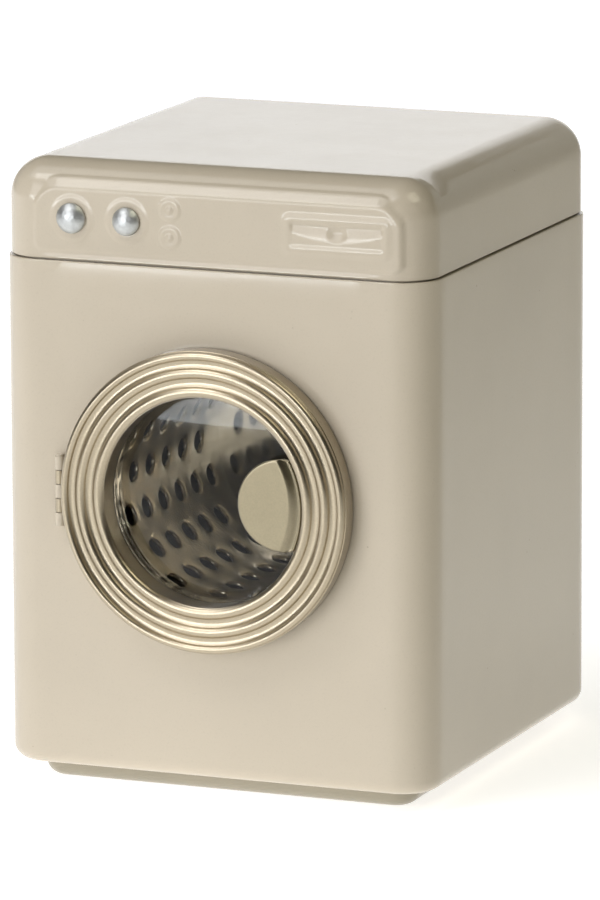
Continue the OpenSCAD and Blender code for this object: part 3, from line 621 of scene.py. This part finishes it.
def ring_profile():
    """Section of the ring: its outside, the stretch that the slots cut, and its hollow back."""
    inner, inner_size, _ = BEADS[0]
    last, last_size, _ = BEADS[-1]
    hidden = BORE_R + RING_WALL
    wall = RING_R - RING_WALL
    outside = [(BORE_R + 0.06, -BORE_DEPTH), (BORE_R, -BORE_DEPTH + 0.1)]
    outside += [(BORE_R, z) for z in (0.0, 1.2, 2.4, 3.4)]
    outside += arc(inner, BEAD_TOP - inner_size, inner_size, 180, 180 - INNER_BEAD_TURN, 14)
    start = inner - inner_size * math.cos(math.radians(INNER_BEAD_TURN))
    end = last + last_size * math.cos(math.radians(OUTER_BEAD_TURN))
    outside += [(r, ring_face(r)) for r in np.linspace(start, end, 126)[1:-1]]
    outside += arc(last, BEAD_TOP - last_size, last_size, OUTER_BEAD_TURN, 0, 8)
    outside += [(last + last_size, 4.1), (last + last_size + 0.05, 3.98)]
    outside += arc(RING_R - 0.12, 3.82, 0.12, 90, 0, 4)
    outside += [(RING_R, z) for z in (3.5, 3.0, 2.2)]
    slotted = [(RING_R, 1.6), (RING_R, 1.0), (RING_R, RING_GAP + 0.08), (RING_R - 0.06, RING_GAP)]
    slotted += [(wall + 0.06, RING_GAP), (wall, RING_GAP + 0.08), (wall, 1.0), (wall, 1.6)]
    back = [(wall, 3.0), (wall - 0.3, 3.4), (hidden + 0.3, 3.4), (hidden, 3.0), (hidden, 1.0),
            (hidden, -BORE_DEPTH + 0.1), (hidden - 0.06, -BORE_DEPTH)]
    return outside, slotted, back


def ring_piece():
    """Beaded ring, open at the back, with slots for the hinge's two tongues."""
    outside, slotted, back = ring_profile()
    n = len(outside + slotted + back)
    verts, faces = lathe(outside + slotted + back, RING_STEPS)
    first = len(outside)
    final = first + len(slotted) - 1
    low, high = TONGUE_LOW[2] - DOOR_Z - TONGUE_GAP, TONGUE_HIGH[2] - DOOR_Z + TONGUE_GAP
    tall = TONGUE_H + 2 * TONGUE_GAP
    turns = [2 * math.pi * (i + 0.5) / RING_STEPS for i in range(RING_STEPS)]
    heights = [RING_R * math.sin(turn) for turn in turns]
    open_steps = [i for i, y in enumerate(heights) if math.cos(turns[i]) < 0
                  and (low < y < low + tall or high - tall < y < high)]
    keep = [face for k, face in enumerate(faces)
            if k // n not in open_steps or not first <= k % n < final]
    # Walls round each slot
    for i in open_steps:
        a, b = i * n, (i + 1) % RING_STEPS * n
        keep.append((a + first, b + first, b + final, a + final))
        if (i - 1) % RING_STEPS not in open_steps:
            keep.append(tuple(range(a + final, a + first - 1, -1)))
        if (i + 1) % RING_STEPS not in open_steps:
            keep.append(tuple(range(b + first, b + final + 1)))
    return in_door_frame(verts), keep


def window_piece():
    """Clear cup with a domed face and a tapering skirt, and the faces of its inner skin."""
    t = WINDOW_T
    ball = (DOME_R ** 2 + DOME_RISE ** 2) / (2 * DOME_RISE)
    low, high = -SKIRT_DEPTH, -BORE_DEPTH
    slope = SKIRT_DRAFT / (high - low)
    radii = list(np.linspace(AXIS_R, DOME_R, 26))

    def dome(r, drop):
        return r, high - drop + math.sqrt(ball ** 2 - r * r) - (ball - DOME_RISE)

    profile = [dome(r, 0) for r in radii] + [(DOME_R + 0.3, high)]
    profile += arc(WINDOW_R - 0.5, high - 0.5, 0.5, 90, 4, 6)
    profile += [(WINDOW_R - (high - z) * slope, z) for z in (-2.4, -3.6, -4.8, low + 0.2)]
    profile += arc(WINDOW_R - SKIRT_DRAFT - t / 2, low + t / 2, t / 2, 0, -180, 8)
    inside = len(profile) - 4
    profile += [(WINDOW_R - t - (high - z) * slope, z) for z in (-4.8, -3.6, -2.6)]
    profile += arc(WINDOW_R - t - 0.3, high - t - 0.3, 0.3, 0, 90, 4)
    profile += [(DOME_R + 0.3, high - t)] + [dome(r, t) for r in radii[::-1]]
    verts, faces = lathe(profile, 144, closed=False)
    n = len(profile)
    return in_door_frame(verts), faces, [k for k, face in enumerate(faces)
                                         if min(v % n for v in face) >= inside]


def handle_top(r):
    """Height of the handle's face at a distance from the door's middle."""
    if r > BORE_R - LIP_W:
        across = (r - BORE_R + LIP_W / 2) / (LIP_W / 2)
        return LIP_TOP - LIP_ROUND + LIP_ROUND * math.sqrt(max(0.0, 1 - across * across))
    groove = BORE_R - LIP_W - GROOVE_W
    return HANDLE_TOP - GROOVE_DEEP * soft_step(r, groove - 0.9, groove + 1.0)


def handle_back(r):
    """Height of the handle's back at a distance from the door's middle."""
    groove = BORE_R - LIP_W - GROOVE_W
    return HANDLE_TOP - HANDLE_T - GROOVE_UNDER * soft_step(r, groove - 0.5, groove + 0.2)


def handle_piece():
    """Round paddle cut off at the bore, with the finger groove and the lip at its right."""
    first = HANDLE_OFF - HANDLE_R
    groove = BORE_R - LIP_W - GROOVE_W
    rs = list(first + 0.004 + (groove - 1 - first) * np.linspace(0, 1, 40) ** 1.8)
    rs += list(np.linspace(groove - 0.9, BORE_R - LIP_W - 0.03, 30))
    rs += list(np.linspace(BORE_R - LIP_W, BORE_R - 0.02, 12))
    across = np.sin(np.linspace(-1, 1, 81) * math.pi / 2)
    edge = HANDLE_T / 2
    mid = HANDLE_TOP - edge

    tops, backs = [], []
    for r in rs:
        reach = (r * r + HANDLE_OFF ** 2 - HANDLE_R ** 2) / (2 * r * HANDLE_OFF)
        wide = math.acos(max(-1, min(1, reach)))
        for part in across:
            turn = part * wide
            from_middle = math.hypot(r * math.cos(turn) - HANDLE_OFF, r * math.sin(turn))
            near_edge = max(0.0, edge - max(0.0, HANDLE_R - from_middle)) / edge
            full = math.sqrt(max(0.0, 1 - near_edge * near_edge))
            x, y = r * math.cos(turn + HANDLE_TURN), r * math.sin(turn + HANDLE_TURN)
            tops.append((x, y, mid + (handle_top(r) - mid) * full))
            backs.append((x, y, mid + (handle_back(r) - mid) * full))
    m, o = len(across), len(tops)
    faces = []
    for a in range(o - m):
        if a % m < m - 1:
            faces.append((a, a + m, a + m + 1, a + 1))
            faces.append((o + a, o + a + 1, o + a + m + 1, o + a + m))
    rim = [i * m for i in range(len(rs))] + list(range(o - m + 1, o))
    rim += [i * m + m - 1 for i in range(len(rs) - 1)][::-1] + list(range(m - 2, 0, -1))
    join_rows(faces, [o + i for i in rim], rim)
    return in_door_frame(np.array(tops + backs)), faces


def knob_piece(x, r, seed):
    """Hammered dome on a shank, in front of the panel."""
    ball = (r * r + KNOB_DOME ** 2) / (2 * KNOB_DOME)
    profile = [(AXIS_R, SHANK_END), (SHANK_R - 0.2, SHANK_END), (SHANK_R, SHANK_END + 0.2),
               (SHANK_R, -0.6), (SHANK_R, KNOB_GAP), (r - 0.5, KNOB_GAP), (r - 0.12, 0.22),
               (r, 0.36), (r, 0.52)]
    for rr in np.linspace(r - 0.05, AXIS_R, 22):
        profile.append((rr, 0.65 + math.sqrt(ball * ball - rr * rr) - (ball - KNOB_DOME)))
    verts, faces = lathe(profile, 56, closed=False)
    for q in verts:
        if q[2] > 0.5:
            spot = Vector((q[0] * HAMMER_CELLS + seed, q[1] * HAMMER_CELLS, 0))
            q[2] -= HAMMER_DEEP * max(0.0, HAMMER_REACH - noise.voronoi(spot)[0][0])
    panel = LID_FRONT - PANEL_RISE
    return np.stack([x + verts[:, 0], panel - verts[:, 2], KNOB_Z + verts[:, 1]], 1), faces


class DrumMesh:
    """Vertices and faces of the drum's two skins, where cells share the points they meet at."""

    def __init__(self):
        self.verts, self.faces, self.made = [], [], {}

    def point(self, turn, depth, r):
        """New vertex at an angle, a depth behind the front and a radius."""
        self.verts.append((r * math.cos(turn), r * math.sin(turn), -depth))
        return len(self.verts) - 1

    def corner(self, column, depth, r):
        """Vertex on a column of the sheet, the same one for every cell that has it."""
        key = (column % (HOLE_ROWS * HOLE_COLUMNS), round(depth, 3), r)
        if key not in self.made:
            turn = HOLE_TURN + (column / HOLE_COLUMNS - 0.5) * ROW_TURN
            self.made[key] = self.point(turn, depth, r)
        return self.made[key]

    def plain_cell(self, columns, steps, r, way):
        """Squares of a stretch without a hole."""
        for a, b in zip(columns, columns[1:]):
            for c, d in zip(steps, steps[1:]):
                face = [self.corner(*at, r) for at in ((a, c), (b, c), (b, d), (a, d))]
                self.faces.append(tuple(face[::way]))

    def holed_cell(self, columns, steps, centre, r, way):
        """Rings from a cell's edge to its hole, whose vertices it returns."""
        edge = [(c, steps[0]) for c in columns[:-1]] + [(columns[-1], d) for d in steps[:-1]]
        edge += [(c, steps[-1]) for c in columns[:0:-1]] + [(columns[0], d) for d in steps[:0:-1]]
        middle = HOLE_TURN + columns[0] / HOLE_COLUMNS * ROW_TURN
        away = [(((c - columns[0]) / HOLE_COLUMNS - 0.5) * ROW_TURN * r, d - centre)
                for c, d in edge]
        row = [self.corner(c, d, r) for c, d in edge]
        for radius, push in HOLE_RINGS:
            out = r + (push if way == 1 else push * OUTER_PUSH)
            ring = []
            for du, dv in away:
                size = math.hypot(du, dv)
                part = min(radius, size - 0.02) / size
                ring.append(self.point(middle + du * part / r, centre + dv * part, out))
            join_rows(self.faces, *(row, ring)[::way])
            row = ring
        return row


def hole_cells(row):
    """Stretches of one row of the sheet from front to back, each with its hole's place."""
    half = HOLE_PITCH / 2
    centre = DRUM_FRONT + HOLE_FIRST + row % 2 * half
    cells = []
    while centre <= DRUM_PLATE - HOLE_MARGIN:
        cells.append((max(DRUM_FRONT, centre - half), centre + half, centre))
        centre += HOLE_PITCH
    if cells[0][0] > DRUM_FRONT:
        cells.insert(0, (DRUM_FRONT, cells[0][0], None))
    return cells + [(cells[-1][1], DRUM_END, None)]


def drum_sheet():
    """Rolled sheet with staggered holes whose rims are turned slightly outwards."""
    mesh = DrumMesh()
    skins = ((DRUM_R - DRUM_T, 1), (DRUM_R, -1))
    for row in range(HOLE_ROWS):
        columns = [row * HOLE_COLUMNS + i for i in range(HOLE_COLUMNS + 1)]
        for low, high, centre in hole_cells(row):
            steps = [low, *np.arange(math.floor(low) + 1, high, 1.0), high]
            if centre is None:
                for r, way in skins:
                    mesh.plain_cell(columns, steps, r, way)
            else:
                rims = [mesh.holed_cell(columns, steps, centre, r, way) for r, way in skins]
                join_rows(mesh.faces, *rims)
    for depth, way in ((DRUM_FRONT, -1), (DRUM_END, 1)):
        ends = [[mesh.corner(column, depth, r) for column in range(HOLE_ROWS * HOLE_COLUMNS)]
                for r, _ in skins]
        join_rows(mesh.faces, *ends[::way])
    return in_door_frame(mesh.verts), mesh.faces


class Nodes:
    """Small helper that adds shader nodes and links them."""

    def __init__(self, name):
        self.mat = bpy.data.materials.new(name)
        self.mat.use_nodes = True
        self.tree = self.mat.node_tree
        self.shader = self.tree.nodes["Principled BSDF"]
        self.place = self.add("ShaderNodeTexCoord").outputs["Object"]

    def add(self, kind, **values):
        node = self.tree.nodes.new(kind)
        for key, value in values.items():
            setattr(node, key, value)
        return node

    def link(self, out, into):
        self.tree.links.new(out, into)

    def fill(self, socket, value):
        """Gives a socket a number, a colour or another node's output."""
        if isinstance(value, bpy.types.NodeSocket):
            self.link(value, socket)
        else:
            socket.default_value = (*value, 1) if isinstance(value, tuple) else value

    def stretched(self, x, y, z):
        """Object coordinates scaled by a different number along each axis."""
        node = self.add("ShaderNodeMapping")
        node.inputs["Scale"].default_value = (x, y, z)
        self.link(self.place, node.inputs["Vector"])
        return node.outputs["Vector"]

    def noise(self, scale, detail, rough, place=None):
        """Cloudy pattern; scale counts its features in a metre."""
        node = self.add("ShaderNodeTexNoise")
        node.inputs["Scale"].default_value = scale
        node.inputs["Detail"].default_value = detail
        node.inputs["Roughness"].default_value = rough
        self.link(place or self.place, node.inputs["Vector"])
        return node.outputs["Fac"]

    def spots(self, scale, place):
        """Distance to the nearest scattered point."""
        node = self.add("ShaderNodeTexVoronoi")
        node.inputs["Scale"].default_value = scale
        self.link(place, node.inputs["Vector"])
        return node.outputs["Distance"]

    def fit(self, value, low, high, to_low, to_high):
        """A value moved from one range to another and held inside it."""
        node = self.add("ShaderNodeMapRange", clamp=True)
        for key, number in zip(("From Min", "From Max", "To Min", "To Max"),
                               (low, high, to_low, to_high)):
            node.inputs[key].default_value = number
        self.link(value, node.inputs["Value"])
        return node.outputs["Result"]

    def math(self, kind, a, b):
        """Two values worked into one, held between 0 and 1."""
        node = self.add("ShaderNodeMath", operation=kind, use_clamp=True)
        self.fill(node.inputs[0], a)
        self.fill(node.inputs[1], b)
        return node.outputs["Value"]

    def mix(self, part, a, b):
        """Colour between a and b by a part from 0 to 1."""
        node = self.add("ShaderNodeMix", data_type="RGBA")
        self.link(part, node.inputs["Factor"])
        for socket, value in zip([s for s in node.inputs if s.type == "RGBA"], (a, b)):
            self.fill(socket, value)
        return next(s for s in node.outputs if s.type == "RGBA")

    def bumps(self, *layers, into=None):
        """Bump layers of (height, distance in mm, strength) laid on each other."""
        normal = None
        for height, distance, strength in layers:
            node = self.add("ShaderNodeBump")
            node.inputs["Distance"].default_value = distance * MM
            node.inputs["Strength"].default_value = strength
            self.link(height, node.inputs["Height"])
            if normal is not None:
                self.link(normal, node.inputs["Normal"])
            normal = node.outputs["Normal"]
        self.link(normal, self.shader.inputs["Normal"] if into is None else into)

    def set(self, **values):
        """Fills the main shader's sockets by name, with _ for a space."""
        for key, value in values.items():
            self.fill(self.shader.inputs[key.replace("_", " ")], value)


def shade(colour, by):
    """A colour made darker or lighter by a factor."""
    return tuple(c * by for c in colour)


def enamel(name, colour, seed):
    """Stoved enamel on tinplate: glossy, slightly wavy, with specks and darker dust."""
    m = Nodes(name)
    moved = m.add("ShaderNodeMapping")
    moved.inputs["Location"].default_value = (seed, seed * 0.7, 0)
    m.link(m.place, moved.inputs["Vector"])
    at = moved.outputs["Vector"]
    broad = m.fit(m.noise(28, 3, 0.55, at), 0.35, 0.68, 0, 1)
    base = m.mix(broad, colour, shade(colour, 0.955))
    fine = m.fit(m.noise(2600, 2, 0.6, at), 0.55, 0.8, 0, 0.35)
    base = m.mix(fine, base, shade(colour, 0.80))
    speck = m.fit(m.spots(420, at), 0.05, 0.10, 1, 0)
    sparse = m.fit(m.noise(150, 1, 0.5, at), 0.66, 0.70, 0, 0.45)
    base = m.mix(m.math("MULTIPLY", speck, sparse), base, SPECK)
    m.set(Base_Color=base)
    m.set(Roughness=m.fit(m.noise(90, 4, 0.6, at), 0.3, 0.75, 0.11, 0.20))
    m.set(Coat_Weight=0.18, Coat_Roughness=0.05, Specular_IOR_Level=0.36)
    m.bumps((m.noise(900, 2, 0.5, at), 0.02, 0.35), (m.noise(160, 2, 0.5, at), 0.08, 0.25))
    return m.mat


def champagne(name, colour):
    """Satin metal under clear lacquer, with a fine grain and faint marks."""
    m = Nodes(name)
    grain = m.noise(3200, 3, 0.65)
    part = m.fit(grain, 0.35, 0.7, 0, 1)
    base = m.mix(part, shade(colour, 1.04), shade(colour, 0.90))
    broad = m.fit(m.noise(60, 3, 0.5), 0.4, 0.7, 0, 0.5)
    base = m.mix(broad, base, shade(colour, 0.94))
    m.set(Base_Color=base, Metallic=1.0)
    m.set(Roughness=m.fit(m.noise(700, 3, 0.6), 0.3, 0.7, 0.28, 0.36))
    m.set(Coat_Weight=1.0, Coat_Roughness=0.14)
    scratch = m.noise(500, 2, 0.5, m.stretched(0.2, 1, 3))
    m.bumps((grain, 0.02, 0.25), (scratch, 0.02, 0.08))
    return m.mat


def plain_metal(name, colour, rough, scale, stretch=(1, 1, 1), deep=0.02, strength=0.4):
    """Bare metal with a range of roughness, drawn marks along one axis and a little dulling."""
    m = Nodes(name)
    lines = m.noise(scale, 4, 0.6, m.stretched(*stretch))
    part = m.fit(lines, 0.35, 0.7, 0, 1)
    base = m.mix(part, colour, shade(colour, 0.82))
    dull = m.fit(m.noise(55, 4, 0.6), 0.45, 0.75, 0, 0.6)
    base = m.mix(dull, base, shade(colour, 0.7))
    m.set(Base_Color=base, Metallic=1.0)
    m.set(Roughness=m.fit(m.noise(120, 3, 0.6), 0.3, 0.75, *rough))
    m.bumps((lines, deep, strength), (m.noise(90, 2, 0.5), 0.15, 0.3))
    return m.mat


def clear_window(name, index):
    """Clear moulded plastic with fine rubbing marks: mirror over a see-through base."""
    m = Nodes(name)
    m.tree.nodes.remove(m.shader)
    marks = m.noise(260, 5, 0.7, m.stretched(0.25, 1, 1.6))
    see = m.add("ShaderNodeBsdfTransparent")
    see.inputs["Color"].default_value = (0.95, 0.955, 0.95, 1)
    shine = m.add("ShaderNodeBsdfAnisotropic")
    shine.inputs["Color"].default_value = (1, 1, 1, 1)
    m.link(m.fit(marks, 0.5, 0.8, 0.02, 0.06), shine.inputs["Roughness"])
    m.bumps((marks, 0.01, 0.1), (m.noise(45, 2, 0.5), 0.05, 0.1), into=shine.inputs["Normal"])
    facing = m.add("ShaderNodeFresnel")
    facing.inputs["IOR"].default_value = index
    blend = m.add("ShaderNodeMixShader")
    m.link(facing.outputs["Fac"], blend.inputs[0])
    m.link(see.outputs["BSDF"], blend.inputs[1])
    m.link(shine.outputs["BSDF"], blend.inputs[2])
    m.link(blend.outputs["Shader"], m.tree.nodes["Material Output"].inputs["Surface"])
    return m.mat


def moulded(name, colour, rough):
    """Moulded or pressed material with a fine uneven skin."""
    m = Nodes(name)
    part = m.fit(m.noise(500, 3, 0.6), 0.35, 0.7, 0, 1)
    m.set(Base_Color=m.mix(part, colour, shade(colour, 0.86)))
    m.set(Roughness=m.fit(m.noise(240, 3, 0.5), 0.3, 0.7, rough, rough + 0.14))
    m.bumps((m.noise(1500, 2, 0.5), 0.015, 0.4), (m.noise(200, 2, 0.5), 0.05, 0.2))
    return m.mat


def floor_skin(name):
    """Pale plain studio floor that glows as painted light from below, most on the left and behind
    the object and warmer to the right.
    """
    m = Nodes(name)
    part = m.fit(m.noise(6, 2, 0.5), 0.4, 0.6, 0, 1)
    m.set(Base_Color=m.mix(part, (0.86, 0.86, 0.86), (0.85, 0.85, 0.855)))
    m.set(Roughness=m.fit(m.noise(20, 2, 0.5), 0.3, 0.7, 0.75, 0.85), Specular_IOR_Level=0.2)
    across = m.add("ShaderNodeSeparateXYZ")
    m.link(m.place, across.inputs["Vector"])
    right = m.fit(across.outputs["X"], 0.0, 0.3, 0, 1)
    # Painted light: the floor's glow turns warmer towards the right
    m.set(Emission_Color=m.mix(right, (1.0, 1.0, 1.0), (1.0, 0.985, 0.90)))
    # Painted light: the glow is weaker to the right and in front
    side_glow = m.fit(across.outputs["X"], 0.0, 0.3, 0.75, 0.18)
    front_glow = m.fit(across.outputs["Y"], -0.42, -0.18, 0.2, 0.75)
    m.set(Emission_Strength=m.math("MINIMUM", side_glow, front_glow))
    m.bumps((m.noise(300, 2, 0.5), 0.05, 0.1))
    return m.mat


CREAM_ENAMEL = enamel("cream_enamel", CREAM, 0.0)
LID_ENAMEL = enamel("lid_enamel", CREAM, 0.31)
# Enamel of the darker cream, which is painted shade
SHADED_ENAMEL = enamel("cream_enamel_in_shade", CREAM_SHADED, 0.57)
SATIN = champagne("champagne_satin", CHAMPAGNE)
# The handle's satin is a darker copy of the ring's: painted shade
PADDLE_IN_SHADE = champagne("paddle_satin_in_shade", CHAMPAGNE_IN_SHADE)
DRUM_STEEL = plain_metal("drum_steel", STEEL, (0.18, 0.28), 1200, (1, 0.12, 1), 0.01, 0.03)
POLISHED = plain_metal("polished_steel", MIRROR, (0.08, 0.16), 120, deep=0.003, strength=0.1)
HAMMERED = plain_metal("knob_silver", SILVER, (0.42, 0.52), 700, deep=0.04, strength=0.5)
PLATED = plain_metal("zinc", ZINC, (0.30, 0.45), 1400, strength=0.5)
BARE_TIN_SHADED = plain_metal("bare_tin_painted_shade", TIN_IN_SHADE, (0.38, 0.55), 700, (1, 1, 0.3))
GLAZING = clear_window("clear_window", 1.3)
GLAZING_BACK = clear_window("clear_window_back", 1.12)
NYLON = moulded("nylon", BUSH_WHITE, 0.42)
FERRITE = moulded("ferrite", MAGNET_BLACK, 0.5)

# Cabinet, lid and base
verts, faces, bare_shaded_faces = cabinet_shell()
cabinet = make_piece("cabinet_shell", verts, faces, "cabinet", CREAM_ENAMEL,
                     ["cabinet_wrap"])
# The inner faces are bare tin, darkened as painted shade
paint(cabinet, BARE_TIN_SHADED, bare_shaded_faces)
verts, faces = pan_shell()
# The plinth gets the darker cream as painted shade
make_piece("plinth_pan", verts, faces, "cabinet", SHADED_ENAMEL, ["base_pan"])
verts, faces = lid_shell()
make_piece("lid_shell", verts, faces, "lid", LID_ENAMEL, ["top_lid"], 60)

# Door
verts, faces = ring_piece()
make_piece("beaded_ring", verts, faces, "door", SATIN, ["door_ring"], 50)
verts, faces, inside = window_piece()
window = make_piece("window_cup", verts, faces, "door", GLAZING, ["door_window"], 50)
paint(window, GLAZING_BACK, inside)
verts, faces = handle_piece()
# The handle gets the darker champagne as painted shade
make_piece("paddle_handle", verts, faces, "door", PADDLE_IN_SHADE, ["door_handle"], 55)

# Knobs
for node, body, (low, high), seed in (("knob_left", "left_knob", KNOB_BOXES[0], 3.1),
                                      ("knob_right", "right_knob", KNOB_BOXES[1], 8.7)):
    verts, faces = knob_piece((low[0] + high[0]) / 2, (high[0] - low[0]) / 2, seed)
    make_piece(node + "_dome", verts, faces, body, HAMMERED, [node], 60)

# Drum
verts, faces = drum_sheet()
make_piece("drum_sheet", verts, faces, "drum", DRUM_STEEL, ["drum_shell"], 50)

# Imported parts that keep their mesh
# The porthole collar gets the darker cream as painted shade
KEPT = {
    "neck_band": CREAM_ENAMEL, "porthole_collar": SHADED_ENAMEL, "drum_bracket": PLATED,
    "bracket_rivets": PLATED, "bearing_bush": NYLON, "hinge_leaf_cabinet": CREAM_ENAMEL,
    "hinge_pin": CREAM_ENAMEL, "door_magnet": FERRITE, "knob_left_nut": PLATED,
    "knob_right_nut": PLATED, "door_liner": SATIN, "hinge_leaf_door": SATIN,
    "drum_mouth_roll": DRUM_STEEL, "drum_back": POLISHED, "drum_hub": NYLON,
    "drum_axle": PLATED, "axle_washer": PLATED, "axle_clip": PLATED,
}
SOFT_EDGE = 0.08
for node, material in KEPT.items():
    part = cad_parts[node]
    part.data.materials.clear()
    part.data.materials.append(material)
    if node != "drum_mouth_roll":
        soft = part.modifiers.new("soft edges", "BEVEL")
        soft.width = SOFT_EDGE * MM
        soft.segments = 2
        soft.limit_method = "ANGLE"
        soft.angle_limit = math.radians(50)


def floor_sheet():
    """Large sheet that is flat round the object and rises in a wide curve at the back."""
    steps = 24
    path = [(-3000, 0), (-1500, 0), (-600, 0), (0, 0), (700, 0), (1500, 0)]
    path += arc(2400, 900, 900, -90, 0, 9)
    path += [(3300, 1400)]
    xs = np.linspace(-3200, 3200, steps + 1)
    verts = [(x, y, z) for y, z in path for x in xs]
    faces = []
    for i in range(len(path) - 1):
        for j in range(steps):
            a = i * (steps + 1) + j
            faces.append((a, a + 1, a + steps + 2, a + steps + 1))
    return verts, faces


# Floor: a pale sheet that curves up far behind
verts, faces = floor_sheet()
mesh = bpy.data.meshes.new("floor")
mesh.from_pydata((np.array(verts) * MM).tolist(), [], faces)
mesh.shade_smooth()
floor = bpy.data.objects.new("floor", mesh)
floor.data.materials.append(floor_skin("floor_paper"))
bpy.context.scene.collection.objects.link(floor)


def softbox(name, place, aim, size, power, colour=(1, 1, 1)):
    """Rectangular soft light of a size (width, height), placed and aimed in millimetres."""
    data = bpy.data.lights.new(name, "AREA")
    data.shape = "RECTANGLE"
    data.size = size[0] * MM
    data.size_y = size[1] * MM
    data.energy = power
    data.color = colour
    lamp = bpy.data.objects.new(name, data)
    lamp.location = Vector(place) * MM
    lamp.rotation_euler = (Vector(aim) - Vector(place)).to_track_quat("-Z", "Y").to_euler()
    bpy.context.scene.collection.objects.link(lamp)


# Studio lights, aimed at the middle of the object, at its top and at the curve behind it
MIDDLE = (0, 0, 60)
softbox("overhead", (-807, -1064, 1887), (0, -45, 112), (840, 500), 6.5, (1, 0.98, 0.96))
softbox("wide", (-900, -800, 2000), MIDDLE, (1800, 1400), 14)
softbox("right", (900, -200, 1500), MIDDLE, (800, 800), 6, (1, 0.955, 0.72))
softbox("key", (-800, -2020, 800), MIDDLE, (1400, 1480), 19, (1, 0.985, 0.985))
softbox("strip", (-770, -1900, 86), MIDDLE, (1520, 160), 7, (0.93, 0.97, 1))
softbox("backdrop", (-700, 1150, 700), (-900, 2600, 300), (1800, 300), 11)


def studio_world(horizon, above, height, strength):
    """Grey surroundings, brighter at the horizon than from a height on the sky's unit sphere."""
    world = bpy.data.worlds.new("studio")
    world.use_nodes = True
    tree = world.node_tree
    coord = tree.nodes.new("ShaderNodeTexCoord")
    split = tree.nodes.new("ShaderNodeSeparateXYZ")
    ramp = tree.nodes.new("ShaderNodeValToRGB")
    tree.links.new(coord.outputs["Generated"], split.inputs[0])
    tree.links.new(split.outputs["Z"], ramp.inputs[0])
    for stop, place, grey in zip(ramp.color_ramp.elements, (0.0, height), (horizon, above)):
        stop.position = place
        stop.color = (grey, grey, grey, 1)
    background = tree.nodes["Background"]
    tree.links.new(ramp.outputs["Color"], background.inputs["Color"])
    background.inputs["Strength"].default_value = strength
    return world


bpy.context.scene.world = studio_world(0.36, 0.20, 0.55, 0.06)

# Camera, as fitted to the photograph
CAMERA = (541.18, -1342.07, 352.37)
TARGET = (-0.233, -0.094, 58.666)
ROLL = math.radians(-0.205)
FOCAL_LENGTH = 306.66
SENSOR_WIDTH = 36
data = bpy.data.cameras.new("camera")
data.sensor_width = SENSOR_WIDTH
data.lens = FOCAL_LENGTH
camera = bpy.data.objects.new("camera", data)
camera.location = Vector(CAMERA) * MM
camera.rotation_euler = (Vector(TARGET) - Vector(CAMERA)).to_track_quat("-Z", "Y").to_euler()
camera.rotation_euler.rotate_axis("Z", ROLL)
bpy.context.scene.collection.objects.link(camera)
bpy.context.scene.camera = camera
bpy.context.scene.view_settings.view_transform = "Standard"
